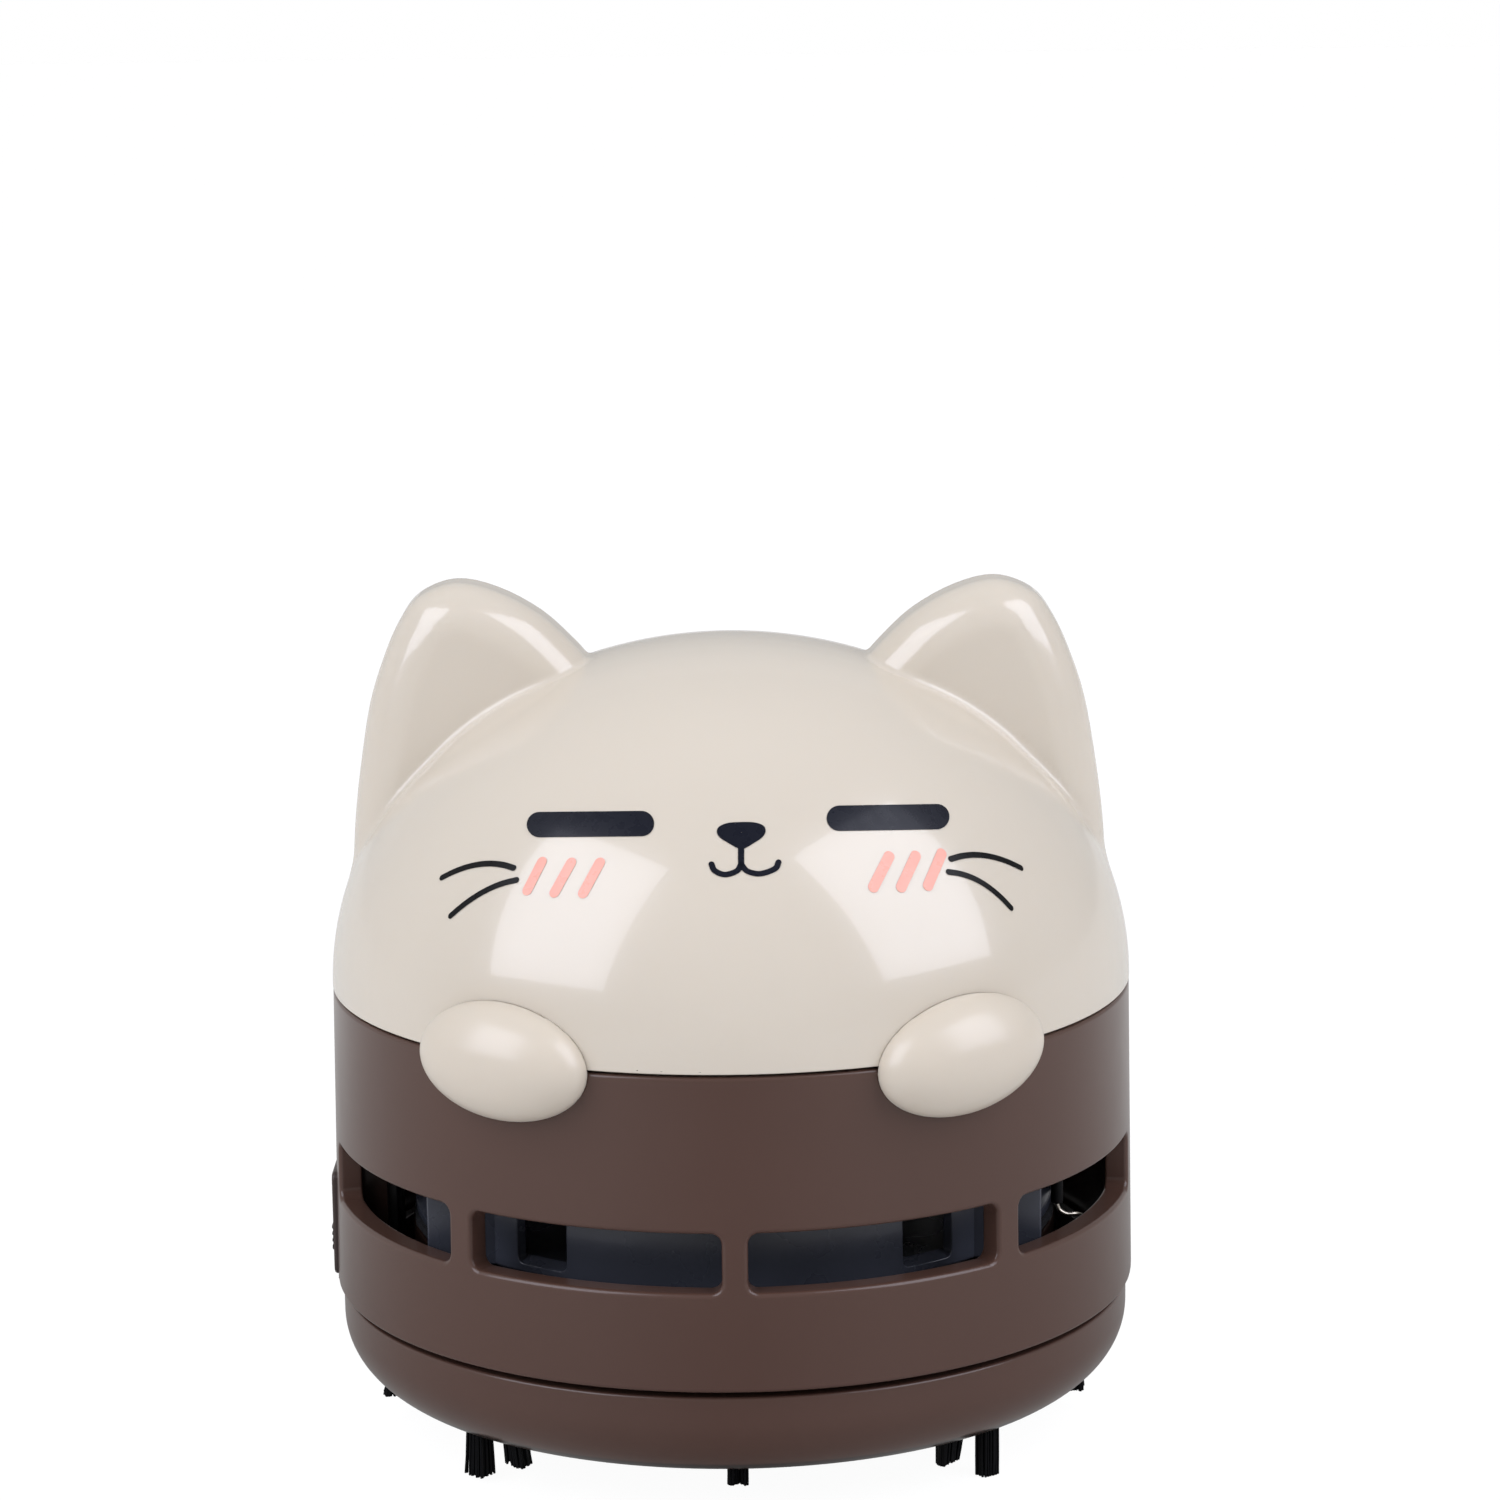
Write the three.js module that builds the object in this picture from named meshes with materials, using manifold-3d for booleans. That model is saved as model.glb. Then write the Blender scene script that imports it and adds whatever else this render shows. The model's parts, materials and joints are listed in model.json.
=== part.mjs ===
// Cordless desktop mini vacuum cleaner with a cat's head, as an assembly of separate pieces.
// Millimetres, +Z up. The origin is on the table, on the barrel's axis, and the face looks towards -Y.
// Azimuths are in degrees from the front (-Y), and positive ones turn towards +X.

import * as THREE from "three";
import { mergeVertices } from "three/addons/utils/BufferGeometryUtils.js";
import Module from "manifold-3d";

const wasm = await Module();
wasm.setup();

// Clearances and cutters
const fitGap = 0.3; // between pieces that touch
const slideGap = 0.4; // between pieces that slide past one another
const overrun = 1; // how far a cutter runs past what it cuts

// Two AA cells and their tray, which the head has room for
const cellRadius = 7.25;
const cellLength = 50.5;
const cellSpacing = 0.8; // between the two cells
const nubRadius = 2.7;
const nubHeight = 1.2;
const cellEdge = 0.8;
const trayWall = 1.6;
const trayFloorThickness = 1.5;
const traySideHeight = 9;
const trayEndHeight = 11;
const trayRoom = 0.4; // beside the cells
const contactThickness = 0.4;
const contactWidth = 9;
const contactTabWidth = 3;
const contactTabDrop = 2;
const springLength = 5;
const springFootRadius = 4.2;
const springTipRadius = 3.1;
const springWire = 0.6;
const lugRadius = 3.2;
const lugReach = 4.1; // from the tray's side to the middle of its lug

// Outside of the barrel and the head
const headRoom = 6.13; // between the tray's corners and the barrel's bore
const crownRoom = 16.05; // from the top of the cells to the top of the dome
const wall = 2.3;
const barrelFlare = 0.42; // how much wider the barrel is at its foot
const wellDepth = 10.55; // from the deck to the barrel's upper edge
const spigotDepth = 3;
const spigotWall = 1.4;

// Ears
const earWidth = 26.1;
const earInset = 2.4; // of its outer edge from the side of the barrel
const earFootRise = 11.65; // from the head's lower edge to where the outer edge leaves the dome
const earRise = 6.15; // of the tip above the dome
const earThickness = 13;
const earRim = 5; // radius of the rounded rim
const earMiddleY = 1.5;
const earRootRun = 6.8; // how far inside the dome the ear's foot is buried
const earRootDrop = 2;

// Paws
const pawAzimuth = 32.4;
const pawRise = 0.2; // of the middle above the barrel's upper edge
const pawLength = 19.6;
const pawBreadth = 12.1;
const pawDepth = 10;
const pawInset = 0.3; // of the middle from the side of the barrel

// Vents in the barrel
const ventHeight = 6.2;
const ventDrop = 3.6; // from the deck down to their upper edge
const ventCorner = 1.4;
const middleVentBar = 3.5; // degrees, at the front and at the back
const ventBar = 4; // degrees, between the other vents
const frontVentWidth = 36.6; // degrees
const sideVentWidth = 36.1; // degrees

// Deck inside the barrel, which carries the motor and closes the fan chamber
const deckThickness = 2;
const deckBossHeight = 4;
const motorSeatHeight = 4;
const motorSeatWall = 1.5;

// Base with the dust cup
const baseInset = 0.6; // of its side from the barrel's foot
const baseUnderside = 4.5;
const baseEdgeHeight = 7.4;
const baseEdgeRun = 8.6; // how far the rounded edge runs in
const baseEdgePower = 2.1; // 2 is an ellipse, more is fuller
const baseStraight = 2.75; // height of the upright part of its side
const baseGap = 0.7; // the dark groove under the barrel
const baseLipHeight = 2.1;
const baseLipWall = 1.2;
const cupFloorThickness = 2;
const cupWall = 1.5;
const dustDepth = 11.9; // from the cup's floor to the filter's ledge
const filterLedgeWidth = 1.6;
const filterRecess = 0.5; // of the filter below the cup's rim
const inletRadius = 8;
const inletWall = 1.6;
const inletDrop = 4.4; // from the filter's ledge down to the duct's mouth

// Bristle strips in a groove of the base
const stripInset = 5.62; // of their middle from the base's side
const stripWidth = 3.8;
const stripThickness = 1.1;
const grooveDepth = 3.2;
const grooveRoof = 1.5; // plastic left above the groove
const strandRadius = 0.27;
const strandPitch = 0.62;
const strandRows = 5;
const strandRoot = 0.4; // how far a strand runs into its strip
const longTuftTip = 0; // height of the tips that stand on the table
const shortTuftTip = 2.6;
const frontTuftTip = 3.4;
const sideTuftTip = 3;
const sideTuftLean = 1.4;
const shortTuftLean = -0.4;
const raggedStep = 0.35;

// Filter
const filterFrameHeight = 2.5;
const filterRingWidth = 2.4;
const filterSpokeWidth = 2;
const filterSpokeHeight = 0.9;
const filterHubRadius = 4;
const filterMeshThickness = 0.6;

// Seal and fan housing
const sealThickness = 0.7;
const housingWall = 1.5;
const housingFloorThickness = 1.5;
const eyeRadius = 11;
const windowSink = 0.5; // of its windows' sills below the top of its floor
const housingLintel = 1; // over them
const wingAzimuth = 46; // where a wing leaves its wall
const wingThickness = 1.3;
const wingGap = 0.65; // to the barrel's bore
const postRadius = 3;
const postOverlap = 0.1; // of a post with the housing's wall

// Impeller
const impellerClearance = 0.8; // to the posts
const impellerDisc = 1;
const impellerDeckGap = 1.5; // under the deck
const bladeHeight = 6.5;
const bladeThickness = 1.2;
const bladeInnerRadius = 9;
const hubRadius = 4.2;
const hubDrop = 0.6; // how far the hub hangs below the blades
const hubFloorGap = 1.4;

// Motor
const shaftRadius = 1;
const canRadius = 12.2;
const canHeight = 12.3;
const canWall = 0.9;
const canNoseRadius = 3;
const canNoseHeight = 1.2;
const capThickness = 1.1;
const capNoseRadius = 3.2;
const capNoseHeight = 1.2;
const magnetThickness = 1.8;
const magnetHeight = 9;
const magnetSpan = 130; // degrees
const rotorRadius = 8.4;
const rotorHeight = 7;
const terminalSpacing = 10;
const terminalWidth = 2;
const terminalThickness = 0.5;
const terminalHeight = 2.3; // above the end cap
const terminalRoom = 0.6; // from the terminals to the tray

// Screws
const screwRadius = 1.1;
const screwHeadRadius = 2;
const screwHeadHeight = 1.3;
const housingScrewGrip = 5; // thread above the housing
const motorScrewSpacing = 15;
const trayScrewLength = 8;

// Slide switch on the left
const plateProud = 0.23; // of the plate's face from the barrel's foot
const plateWidth = 9;
const plateFootGap = 0.25; // over the barrel's lower edge
const plateHeight = 11.6;
const plateThickness = 2.3;
const plateSlotMargin = 1.5; // under its slot
const knobWidth = 2.4;
const knobHeight = 3;
const knobTravel = 4;
const knobProud = 0.45; // past the plate's face
const knobStemDepth = 5; // from the plate's face to the end of the stem
const ridgeDepth = 0.25;
const ridgeWidth = 0.4;
const ridgeCount = 3;
const switchStandoff = 1.35; // behind the plate
const switchDepth = 3.6;
const switchWidth = 9.8;
const switchRise = 2; // above the plate's lower edge
const switchHeight = 9.4;
const cradleWall = 1.2;
const cradleDepth = 3.4;
const pinSpacing = 5;
const pinWidth = 1.6;
const pinThickness = 0.5;
const pinHeight = 2; // above the switch
const pinSocket = 1.4; // into the switch

// Lead wires
const leadRadius = 0.65;
const tinnedRadius = 0.28;
const leadHoleRadius = 1.3;
const canLeadAzimuth = 62.9; // where it goes through the deck
const canLeadStart = 53; // degrees, where it is soldered to the can
const canLeadDrop = 3.6; // from the top of the can to that joint
const canLeadEnd = 8.6; // below the deck
const tinnedDrop = 1.5;
const tinnedTurn = 3; // degrees

// Materials
const cream = { color: 0xe2dacd, roughness: 0.18, metalness: 0 };
const creamPaw = { color: 0xe6dfd2, roughness: 0.15, metalness: 0 };
const brown = { color: 0x5d4b44, roughness: 0.42, metalness: 0 };
const darkBrown = { color: 0x3d302c, roughness: 0.4, metalness: 0 };
const nightBlue = { color: 0x1b2029, roughness: 0.15, metalness: 0 };
const black = { color: 0x161616, roughness: 0.5, metalness: 0 };
const bristle = { color: 0x0e0e10, roughness: 0.45, metalness: 0 };
const steel = { color: 0xb9bcc0, roughness: 0.3, metalness: 1 };
const nickel = { color: 0xcfcdc4, roughness: 0.28, metalness: 1 };
const ferrite = { color: 0x3b3b3d, roughness: 0.7, metalness: 0.2 };
const lamination = { color: 0x8a6a4a, roughness: 0.45, metalness: 0.7 };
const foam = { color: 0x2a2a2c, roughness: 0.95, metalness: 0 };
const netWhite = { color: 0xe9e9e6, roughness: 0.9, metalness: 0 };
const cellWrap = { color: 0x2f6a8c, roughness: 0.35, metalness: 0.2 };
const redWire = { color: 0xa82a24, roughness: 0.4, metalness: 0 };
const blackWire = { color: 0x151515, roughness: 0.4, metalness: 0 };

// Tray, and the barrel round it
const cellPitch = 2 * cellRadius + cellSpacing;
const trayHalfWidth = cellPitch / 2 + cellRadius + trayRoom;
const contactInnerX = (cellLength + springLength + fitGap * 3) / 2;
const trayHalfLength = contactInnerX + contactThickness + fitGap;
const cellFaceX = contactInnerX - fitGap;
const lugCentreY = trayHalfWidth + trayWall + lugReach;
const barrelBore = Math.hypot(trayHalfLength + trayWall, trayHalfWidth + trayWall) + headRoom;
const barrelTopRadius = barrelBore + wall;
const barrelFootRadius = barrelTopRadius + barrelFlare;

// Radii of the base and of what stands in the barrel
const baseTopRadius = barrelFootRadius - baseInset;
const stripRadius = baseTopRadius - stripInset;
const grooveInner = stripRadius - stripWidth / 2 - fitGap;
const grooveOuter = stripRadius + stripWidth / 2 + fitGap;
const cupRadius = grooveInner;
const cupBore = cupRadius - cupWall;
const filterRadius = cupBore - slideGap;
const housingRadius = cupRadius - fitGap;
const housingBore = housingRadius - housingWall;
const postCircleRadius = housingBore - postRadius + postOverlap;
const impellerRadius = postCircleRadius - postRadius - impellerClearance;
const shaftBore = shaftRadius + fitGap;
const noseBore = canNoseRadius + slideGap;
const canBore = canRadius - canWall;
const screwHole = screwRadius + fitGap;
const headHole = screwHeadRadius + fitGap;

// Heights, from the table up
const grooveTop = baseUnderside + grooveDepth;
const baseEdgeTop = baseUnderside + baseEdgeHeight;
const baseTop = baseEdgeTop + baseStraight;
const barrelFoot = baseTop + baseGap;
const cupFloor = baseUnderside + cupFloorThickness;
const filterLedgeHeight = cupFloor + dustDepth;
const inletTop = filterLedgeHeight - inletDrop;
const filterBottom = filterLedgeHeight + fitGap;
const cupTop = filterBottom + filterFrameHeight + filterRecess;
const housingBottom = cupTop + fitGap + sealThickness + fitGap;
const housingFloorTop = housingBottom + housingFloorThickness;
const hubBottom = housingFloorTop + hubFloorGap;
const impellerDiscBottom = hubBottom + hubDrop + bladeHeight;
const impellerTop = impellerDiscBottom + impellerDisc;
const deckBottom = impellerTop + impellerDeckGap;
const housingTop = deckBottom - fitGap;
const ventCeiling = deckBottom - ventDrop;
const ventFloor = ventCeiling - ventHeight;
const deckTop = deckBottom + deckThickness;
const seamHeight = deckTop + wellDepth;
const canBottom = deckTop + fitGap;
const canTop = canBottom + canHeight;
const canFloorTop = canBottom + canWall;
const capTop = canTop;
const capBottom = capTop - capThickness;
const capSocketTop = capTop + capNoseHeight / 2;
const trayFloorHeight = canTop + terminalHeight + terminalRoom;
const trayTopOfFloor = trayFloorHeight + trayFloorThickness;
const postTop = trayFloorHeight - fitGap;
const cellHeight = trayTopOfFloor + fitGap + cellRadius;
const headBottom = seamHeight + fitGap;
const domeTop = cellHeight + cellRadius + crownRoom;
const domeHeight = domeTop - headBottom;

// Switch, seen from the axis
const plateFace = barrelFootRadius + plateProud;
const plateBottom = barrelFoot + plateFootGap;
const plateTop = plateBottom + plateHeight;
const knobRestHeight = plateBottom + plateSlotMargin + fitGap + knobHeight / 2;
const switchOuterX = plateFace - plateThickness - switchStandoff;
const switchInnerX = switchOuterX - switchDepth;
const switchBottom = plateBottom + switchRise;
const switchTop = switchBottom + switchHeight;
const leadSwitchX = switchOuterX - switchDepth / 2;

// How finely round shapes are cut
const outerSegments = 42;
const innerSegments = 32;
const motorSegments = 24;
const smallSegments = 10;
const screwSegments = 8;
const leadSides = 5;
const halfTurn = Math.PI;
const radians = (degrees) => (degrees * halfTurn) / 180;

// A closed geometry with shared vertices and no faces of zero area.
function tidy(geometry) {
  const bare = new THREE.BufferGeometry();
  bare.setAttribute("position", geometry.getAttribute("position"));
  bare.setIndex(geometry.getIndex());
  const merged = mergeVertices(bare);
  const corners = merged.getIndex().array;
  const kept = [];
  for (let i = 0; i < corners.length; i += 3) {
    const [a, b, c] = [corners[i], corners[i + 1], corners[i + 2]];
    if (a !== b && b !== c && c !== a) kept.push(a, b, c);
  }
  merged.setIndex(kept);
  return merged;
}

function solid(geometry) {
  const closed = tidy(geometry);
  return new wasm.Manifold(
    new wasm.Mesh({
      numProp: 3,
      vertProperties: new Float32Array(closed.getAttribute("position").array),
      triVerts: new Uint32Array(closed.getIndex().array),
    }),
  );
}

function geometryOf(shape) {
  const { vertProperties, triVerts, numProp } = shape.getMesh();
  const geometry = new THREE.BufferGeometry();
  const places = [];
  for (let i = 0; i < vertProperties.length; i += numProp) {
    places.push(vertProperties[i], vertProperties[i + 1], vertProperties[i + 2]);
  }
  geometry.setAttribute("position", new THREE.Float32BufferAttribute(places, 3));
  geometry.setIndex(Array.from(triVerts));
  return geometry;
}

const join = (first, ...others) => others.reduce((sum, next) => sum.add(next), first);
const cut = (first, ...others) => others.reduce((rest, next) => rest.subtract(next), first);

// A ring or a disc turned about Z. The profile is a list of [radius, height], anticlockwise.
// One that starts and ends on the axis stays open there, and any other closes on itself.
function turned(profile, segments = innerSegments) {
  const ends = profile[0][0] === 0 && profile.at(-1)[0] === 0;
  const loop = ends ? profile : [...profile, profile[0]];
  const points = loop.map(([radius, height]) => new THREE.Vector2(radius, height));
  return solid(new THREE.LatheGeometry(points, segments).rotateX(halfTurn / 2));
}

function rod(radius, bottom, top, segments = smallSegments) {
  const height = top - bottom;
  const geometry = new THREE.CylinderGeometry(radius, radius, height, segments);
  return solid(geometry.rotateX(halfTurn / 2).translate(0, 0, bottom + height / 2));
}

function block([x0, x1], [y0, y1], [z0, z1]) {
  const geometry = new THREE.BoxGeometry(x1 - x0, y1 - y0, z1 - z0);
  return solid(geometry.translate((x0 + x1) / 2, (y0 + y1) / 2, (z0 + z1) / 2));
}

// The point at an azimuth and radius.
function around(azimuth, radius) {
  const angle = radians(azimuth);
  return [radius * Math.sin(angle), -radius * Math.cos(angle)];
}

// A block bent round the axis: columns of [azimuth, floor, ceiling] between two radii.
function bentBlock(columns, inner, outer) {
  const places = [];
  for (const [azimuth, floor, ceiling] of columns) {
    for (const [radius, height] of [[inner, floor], [outer, floor], [outer, ceiling], [inner, ceiling]]) {
      places.push(...around(azimuth, radius), height);
    }
  }
  const faces = [];
  const quad = (a, b, c, d) => faces.push(a, b, c, a, c, d);
  for (let i = 0; i + 1 < columns.length; i++) {
    for (let side = 0; side < 4; side++) {
      const next = (side + 1) % 4;
      quad(i * 4 + side, (i + 1) * 4 + side, (i + 1) * 4 + next, i * 4 + next);
    }
  }
  const last = (columns.length - 1) * 4;
  quad(0, 1, 2, 3);
  quad(last + 3, last + 2, last + 1, last);
  const geometry = new THREE.BufferGeometry();
  geometry.setAttribute("position", new THREE.Float32BufferAttribute(places, 3));
  geometry.setIndex(faces);
  return solid(geometry);
}

// The columns of a window with rounded corners, centred on an azimuth and as wide as it says.
function windowColumns(centre, width, floor, ceiling, corner, radius) {
  const cornerSteps = corner > wall / 2 ? 3 : 2;
  const spanSteps = Math.max(1, Math.round(width / 8));
  const cornerAngle = (corner / radius) * (180 / halfTurn);
  const straight = width / 2 - cornerAngle;
  const ends = [];
  for (let i = 0; i <= cornerSteps; i++) {
    const turn = ((i / cornerSteps) * halfTurn) / 2;
    ends.push([straight + cornerAngle * Math.cos(turn), corner * (1 - Math.sin(turn))]);
  }
  const columns = ends.map(([reach, inset]) => [centre - reach, floor + inset, ceiling - inset]);
  for (let i = 1; i < spanSteps; i++) {
    columns.push([centre - straight + (2 * straight * i) / spanSteps, floor, ceiling]);
  }
  for (const [reach, inset] of ends.reverse()) {
    columns.push([centre + reach, floor + inset, ceiling - inset]);
  }
  return columns;
}

// A tube along a smooth route through the points.
function tube(points, radius, steps) {
  const section = new THREE.Shape();
  for (let i = 0; i < leadSides; i++) {
    const angle = (i / leadSides) * 2 * halfTurn;
    const corner = [radius * Math.cos(angle), radius * Math.sin(angle)];
    if (i === 0) section.moveTo(...corner);
    else section.lineTo(...corner);
  }
  const path = new THREE.CatmullRomCurve3(points.map((point) => new THREE.Vector3(...point)));
  return new THREE.ExtrudeGeometry(section, { steps, extrudePath: path, bevelEnabled: false });
}

const vacuum = new THREE.Group();

function place(name, shape, look) {
  const geometry = shape.isBufferGeometry ? tidy(shape) : geometryOf(shape);
  geometry.computeVertexNormals();
  const mesh = new THREE.Mesh(geometry, new THREE.MeshStandardMaterial(look));
  mesh.name = name;
  vacuum.add(mesh);
}

// Head: a dome that is half an ellipsoid, with two ears of the same moulding
function domeArc(radius, height, steps) {
  const points = [];
  for (let i = 0; i <= steps; i++) {
    const angle = ((i / steps) * halfTurn) / 2;
    const across = i === steps ? 0 : radius * Math.cos(angle);
    points.push([across, headBottom + height * Math.sin(angle)]);
  }
  return points;
}

function dome(radius, height, drop, steps, segments) {
  const foot = headBottom - drop;
  return turned([[0, foot], [radius, foot], ...domeArc(radius, height, steps)], segments);
}

// Points of the ear's outline, from its inner foot over the tip to its outer foot,
// as shares of its width and of its height above the outer foot.
const earOutlineShares = [
  [0, 0.73],
  [0.07, 0.765],
  [0.22, 0.88],
  [0.39, 0.965],
  [0.55, 1],
  [0.7, 0.955],
  [0.785, 0.865],
  [0.85, 0.745],
  [0.91, 0.59],
  [0.955, 0.38],
  [0.985, 0.185],
  [1, 0],
];

const earSteps = 14;
const earOuterX = barrelTopRadius - earInset;
const earFootZ = headBottom + earFootRise;
const earHeight = domeTop + earRise - earFootZ;

// One ear. The inset moves its outline and both faces inwards, for its hollow.
function ear(side, inset) {
  const rim = earRim - inset;
  const innerX = earOuterX - earWidth;
  const rimPoints = earOutlineShares.map(
    ([across, up]) => new THREE.Vector2(innerX + across * earWidth, earFootZ + up * earHeight),
  );
  const curve = new THREE.SplineCurve(rimPoints);
  const outline = curve.getPoints(earSteps).map((point, i, all) => {
    const before = all[Math.max(0, i - 1)];
    const after = all[Math.min(all.length - 1, i + 1)];
    const along = after.clone().sub(before).normalize();
    return new THREE.Vector2(point.x + along.y * earRim, point.y - along.x * earRim);
  });
  outline.push(new THREE.Vector2(earOuterX - earRim - wall, earFootZ - earRootDrop));
  outline.push(new THREE.Vector2(innerX - earRootRun, earFootZ - earRootDrop));
  outline.reverse();
  const depth = earThickness - 2 * earRim;
  const geometry = new THREE.ExtrudeGeometry(new THREE.Shape(outline), {
    depth,
    steps: 1,
    bevelEnabled: true,
    bevelThickness: rim,
    bevelSize: rim,
    bevelSegments: inset > 0 ? 2 : 4,
  });
  geometry.rotateX(halfTurn / 2).translate(0, earMiddleY + depth / 2, 0);
  const right = solid(geometry);
  return side > 0 ? right : right.mirror([1, 0, 0]);
}

const domeSteps = 11;
const innerDomeHeight = domeHeight - wall;
const spigotRadius = barrelBore - slideGap;

const headOutside = join(
  dome(barrelTopRadius, domeHeight, 0, domeSteps, outerSegments),
  ear(1, 0),
  ear(-1, 0),
);
const headInside = join(
  dome(barrelBore, innerDomeHeight, overrun, domeSteps - 4, innerSegments),
  ear(1, wall),
  ear(-1, wall),
);
const spigot = turned([
  [spigotRadius - spigotWall, headBottom - spigotDepth],
  [spigotRadius, headBottom - spigotDepth],
  [spigotRadius, headBottom],
  [barrelBore + wall / 2, headBottom],
  [barrelBore + wall / 2, headBottom + wall],
  [spigotRadius - spigotWall, headBottom + wall],
]);
place("head_shell", join(cut(headOutside, headInside), spigot), cream);

// Paws: ellipsoids laid over the seam, hollowed at the back to the shape of the head and the barrel
function paw(side, tilt) {
  const segments = 20;
  const rings = 14;
  const geometry = new THREE.SphereGeometry(1, segments, rings);
  geometry.scale(pawLength / 2, pawDepth / 2, pawBreadth / 2);
  geometry.rotateY(-radians(tilt) * side);
  geometry.translate(0, pawInset - barrelTopRadius, seamHeight + pawRise);
  geometry.rotateZ(radians(pawAzimuth) * side);
  const behind = join(
    dome(barrelTopRadius + fitGap, domeHeight + fitGap, fitGap, domeSteps, outerSegments),
    rod(barrelFootRadius + slideGap, ventCeiling, headBottom, outerSegments),
  );
  return cut(solid(geometry), behind);
}

const pawTilts = { left: 2.5, right: 6 }; // degrees, the inner end lower
place("paw_left", paw(-1, pawTilts.left), creamPaw);
place("paw_right", paw(1, pawTilts.right), creamPaw);

// Barrel with its deck, vents, posts and the opening for the switch
const postAzimuths = [0, 120, 240];
const frontVentCentre = (middleVentBar + frontVentWidth) / 2;
const sideVentCentre = frontVentCentre + frontVentWidth / 2 + ventBar + sideVentWidth / 2;
const vents = [
  [frontVentCentre, frontVentWidth],
  [sideVentCentre, sideVentWidth],
  [180 - sideVentCentre, sideVentWidth],
  [180 - frontVentCentre, frontVentWidth],
];
const trayPosts = [lugCentreY, -lugCentreY];
const leadHoles = [
  [-leadSwitchX, -pinSpacing / 2],
  [-leadSwitchX, pinSpacing / 2],
  around(canLeadAzimuth, leadSwitchX),
];

function barrel() {
  let shape = turned(
    [
      [barrelBore, barrelFoot],
      [barrelFootRadius, barrelFoot],
      [barrelTopRadius, seamHeight],
      [barrelBore, seamHeight],
      [barrelBore, deckTop],
      [noseBore, deckTop],
      [noseBore, deckBottom],
      [barrelBore, deckBottom],
    ],
    outerSegments,
  );
  const seat = canRadius + slideGap;
  shape = shape.add(
    turned([
      [seat, deckBottom + deckThickness / 2],
      [seat + motorSeatWall, deckBottom + deckThickness / 2],
      [seat + motorSeatWall, deckTop + motorSeatHeight],
      [seat, deckTop + motorSeatHeight],
    ]),
  );
  for (const y of trayPosts) {
    const post = rod(postRadius, deckBottom + deckThickness / 2, postTop);
    const hole = rod(screwHole, postTop - trayScrewLength, postTop + overrun);
    shape = cut(join(shape, post.translate(0, y, 0)), hole.translate(0, y, 0));
  }
  for (const azimuth of postAzimuths) {
    const [x, y] = around(azimuth, postCircleRadius);
    const boss = rod(postRadius, deckBottom + deckThickness / 2, deckTop + deckBossHeight);
    const hole = rod(screwHole, deckBottom - overrun, deckBottom + housingScrewGrip);
    shape = cut(join(shape, boss.translate(x, y, 0)), hole.translate(x, y, 0));
  }
  for (const x of [motorScrewSpacing / 2, -motorScrewSpacing / 2]) {
    const hole = rod(screwHole, deckBottom - overrun, deckTop + overrun);
    const recess = rod(headHole, deckBottom - overrun, deckBottom + screwHeadHeight + fitGap / 2);
    shape = cut(shape, hole.translate(x, 0, 0), recess.translate(x, 0, 0));
  }
  for (const [x, y] of leadHoles) {
    shape = cut(shape, rod(leadHoleRadius, deckBottom - overrun, deckTop + overrun).translate(x, y, 0));
  }
  for (const [centre, width] of vents) {
    for (const side of [1, -1]) {
      const columns = windowColumns(
        centre * side, width, ventFloor, ventCeiling, ventCorner, barrelFootRadius,
      );
      shape = cut(shape, bentBlock(columns, barrelBore - overrun, barrelFootRadius + overrun));
    }
  }
  const cradleInner = barrelBore - cradleDepth;
  for (const side of [1, -1]) {
    const near = side * (switchWidth / 2 + fitGap);
    const far = near + side * cradleWall;
    const rib = block(
      [-barrelBore - wall / 2, -cradleInner],
      [Math.min(near, far), Math.max(near, far)],
      [switchBottom, deckBottom + deckThickness / 2],
    );
    shape = shape.add(rib);
  }
  const opening = block(
    [-barrelFootRadius - overrun, -barrelBore + overrun],
    [-plateWidth / 2 - fitGap, plateWidth / 2 + fitGap],
    [barrelFoot - overrun, plateTop + fitGap],
  );
  return cut(shape, opening);
}

place("body_shell", barrel(), brown);

// Base: rounded ring, dust cup with its skirt and filter ledge, inlet duct and bristle groove
const edgeInnerRadius = baseTopRadius - baseEdgeRun;

// Height of the rounded edge at a radius.
function edgeHeightAt(radius) {
  const share = (radius - edgeInnerRadius) / baseEdgeRun;
  return baseEdgeTop - baseEdgeHeight * (1 - share ** baseEdgePower) ** (1 / baseEdgePower);
}

function base() {
  const edgeSteps = 6;
  const edge = [];
  for (let i = 0; i < edgeSteps; i++) {
    const share = Math.sin(((i / edgeSteps) * halfTurn) / 2);
    const radius = grooveOuter + (baseTopRadius - grooveOuter) * share;
    edge.push([radius, edgeHeightAt(radius)]);
  }
  const lipOuter = barrelBore - slideGap;
  const ledgeBore = cupBore - filterLedgeWidth;
  return turned(
    [
      [inletRadius, baseUnderside],
      [grooveInner, baseUnderside],
      [grooveInner, grooveTop],
      [grooveOuter, grooveTop],
      ...edge,
      [baseTopRadius, baseEdgeTop],
      [baseTopRadius, baseTop],
      [lipOuter, baseTop],
      [lipOuter, baseTop + baseLipHeight],
      [lipOuter - baseLipWall, baseTop + baseLipHeight],
      [lipOuter - baseLipWall, grooveTop + grooveRoof],
      [cupRadius, grooveTop + grooveRoof],
      [cupRadius, cupTop],
      [cupBore, cupTop],
      [cupBore, filterLedgeHeight],
      [ledgeBore, filterLedgeHeight],
      [ledgeBore, cupFloor],
      [inletRadius + inletWall, cupFloor],
      [inletRadius + inletWall, inletTop],
      [inletRadius, inletTop],
    ],
    outerSegments,
  );
}

place("base_cup", base(), brown);

// Bristle strips: an arc of backing with tufts, each with rows of four and five three-sided strands
const stripTop = grooveTop - fitGap;
const stripBottom = stripTop - stripThickness;

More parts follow.
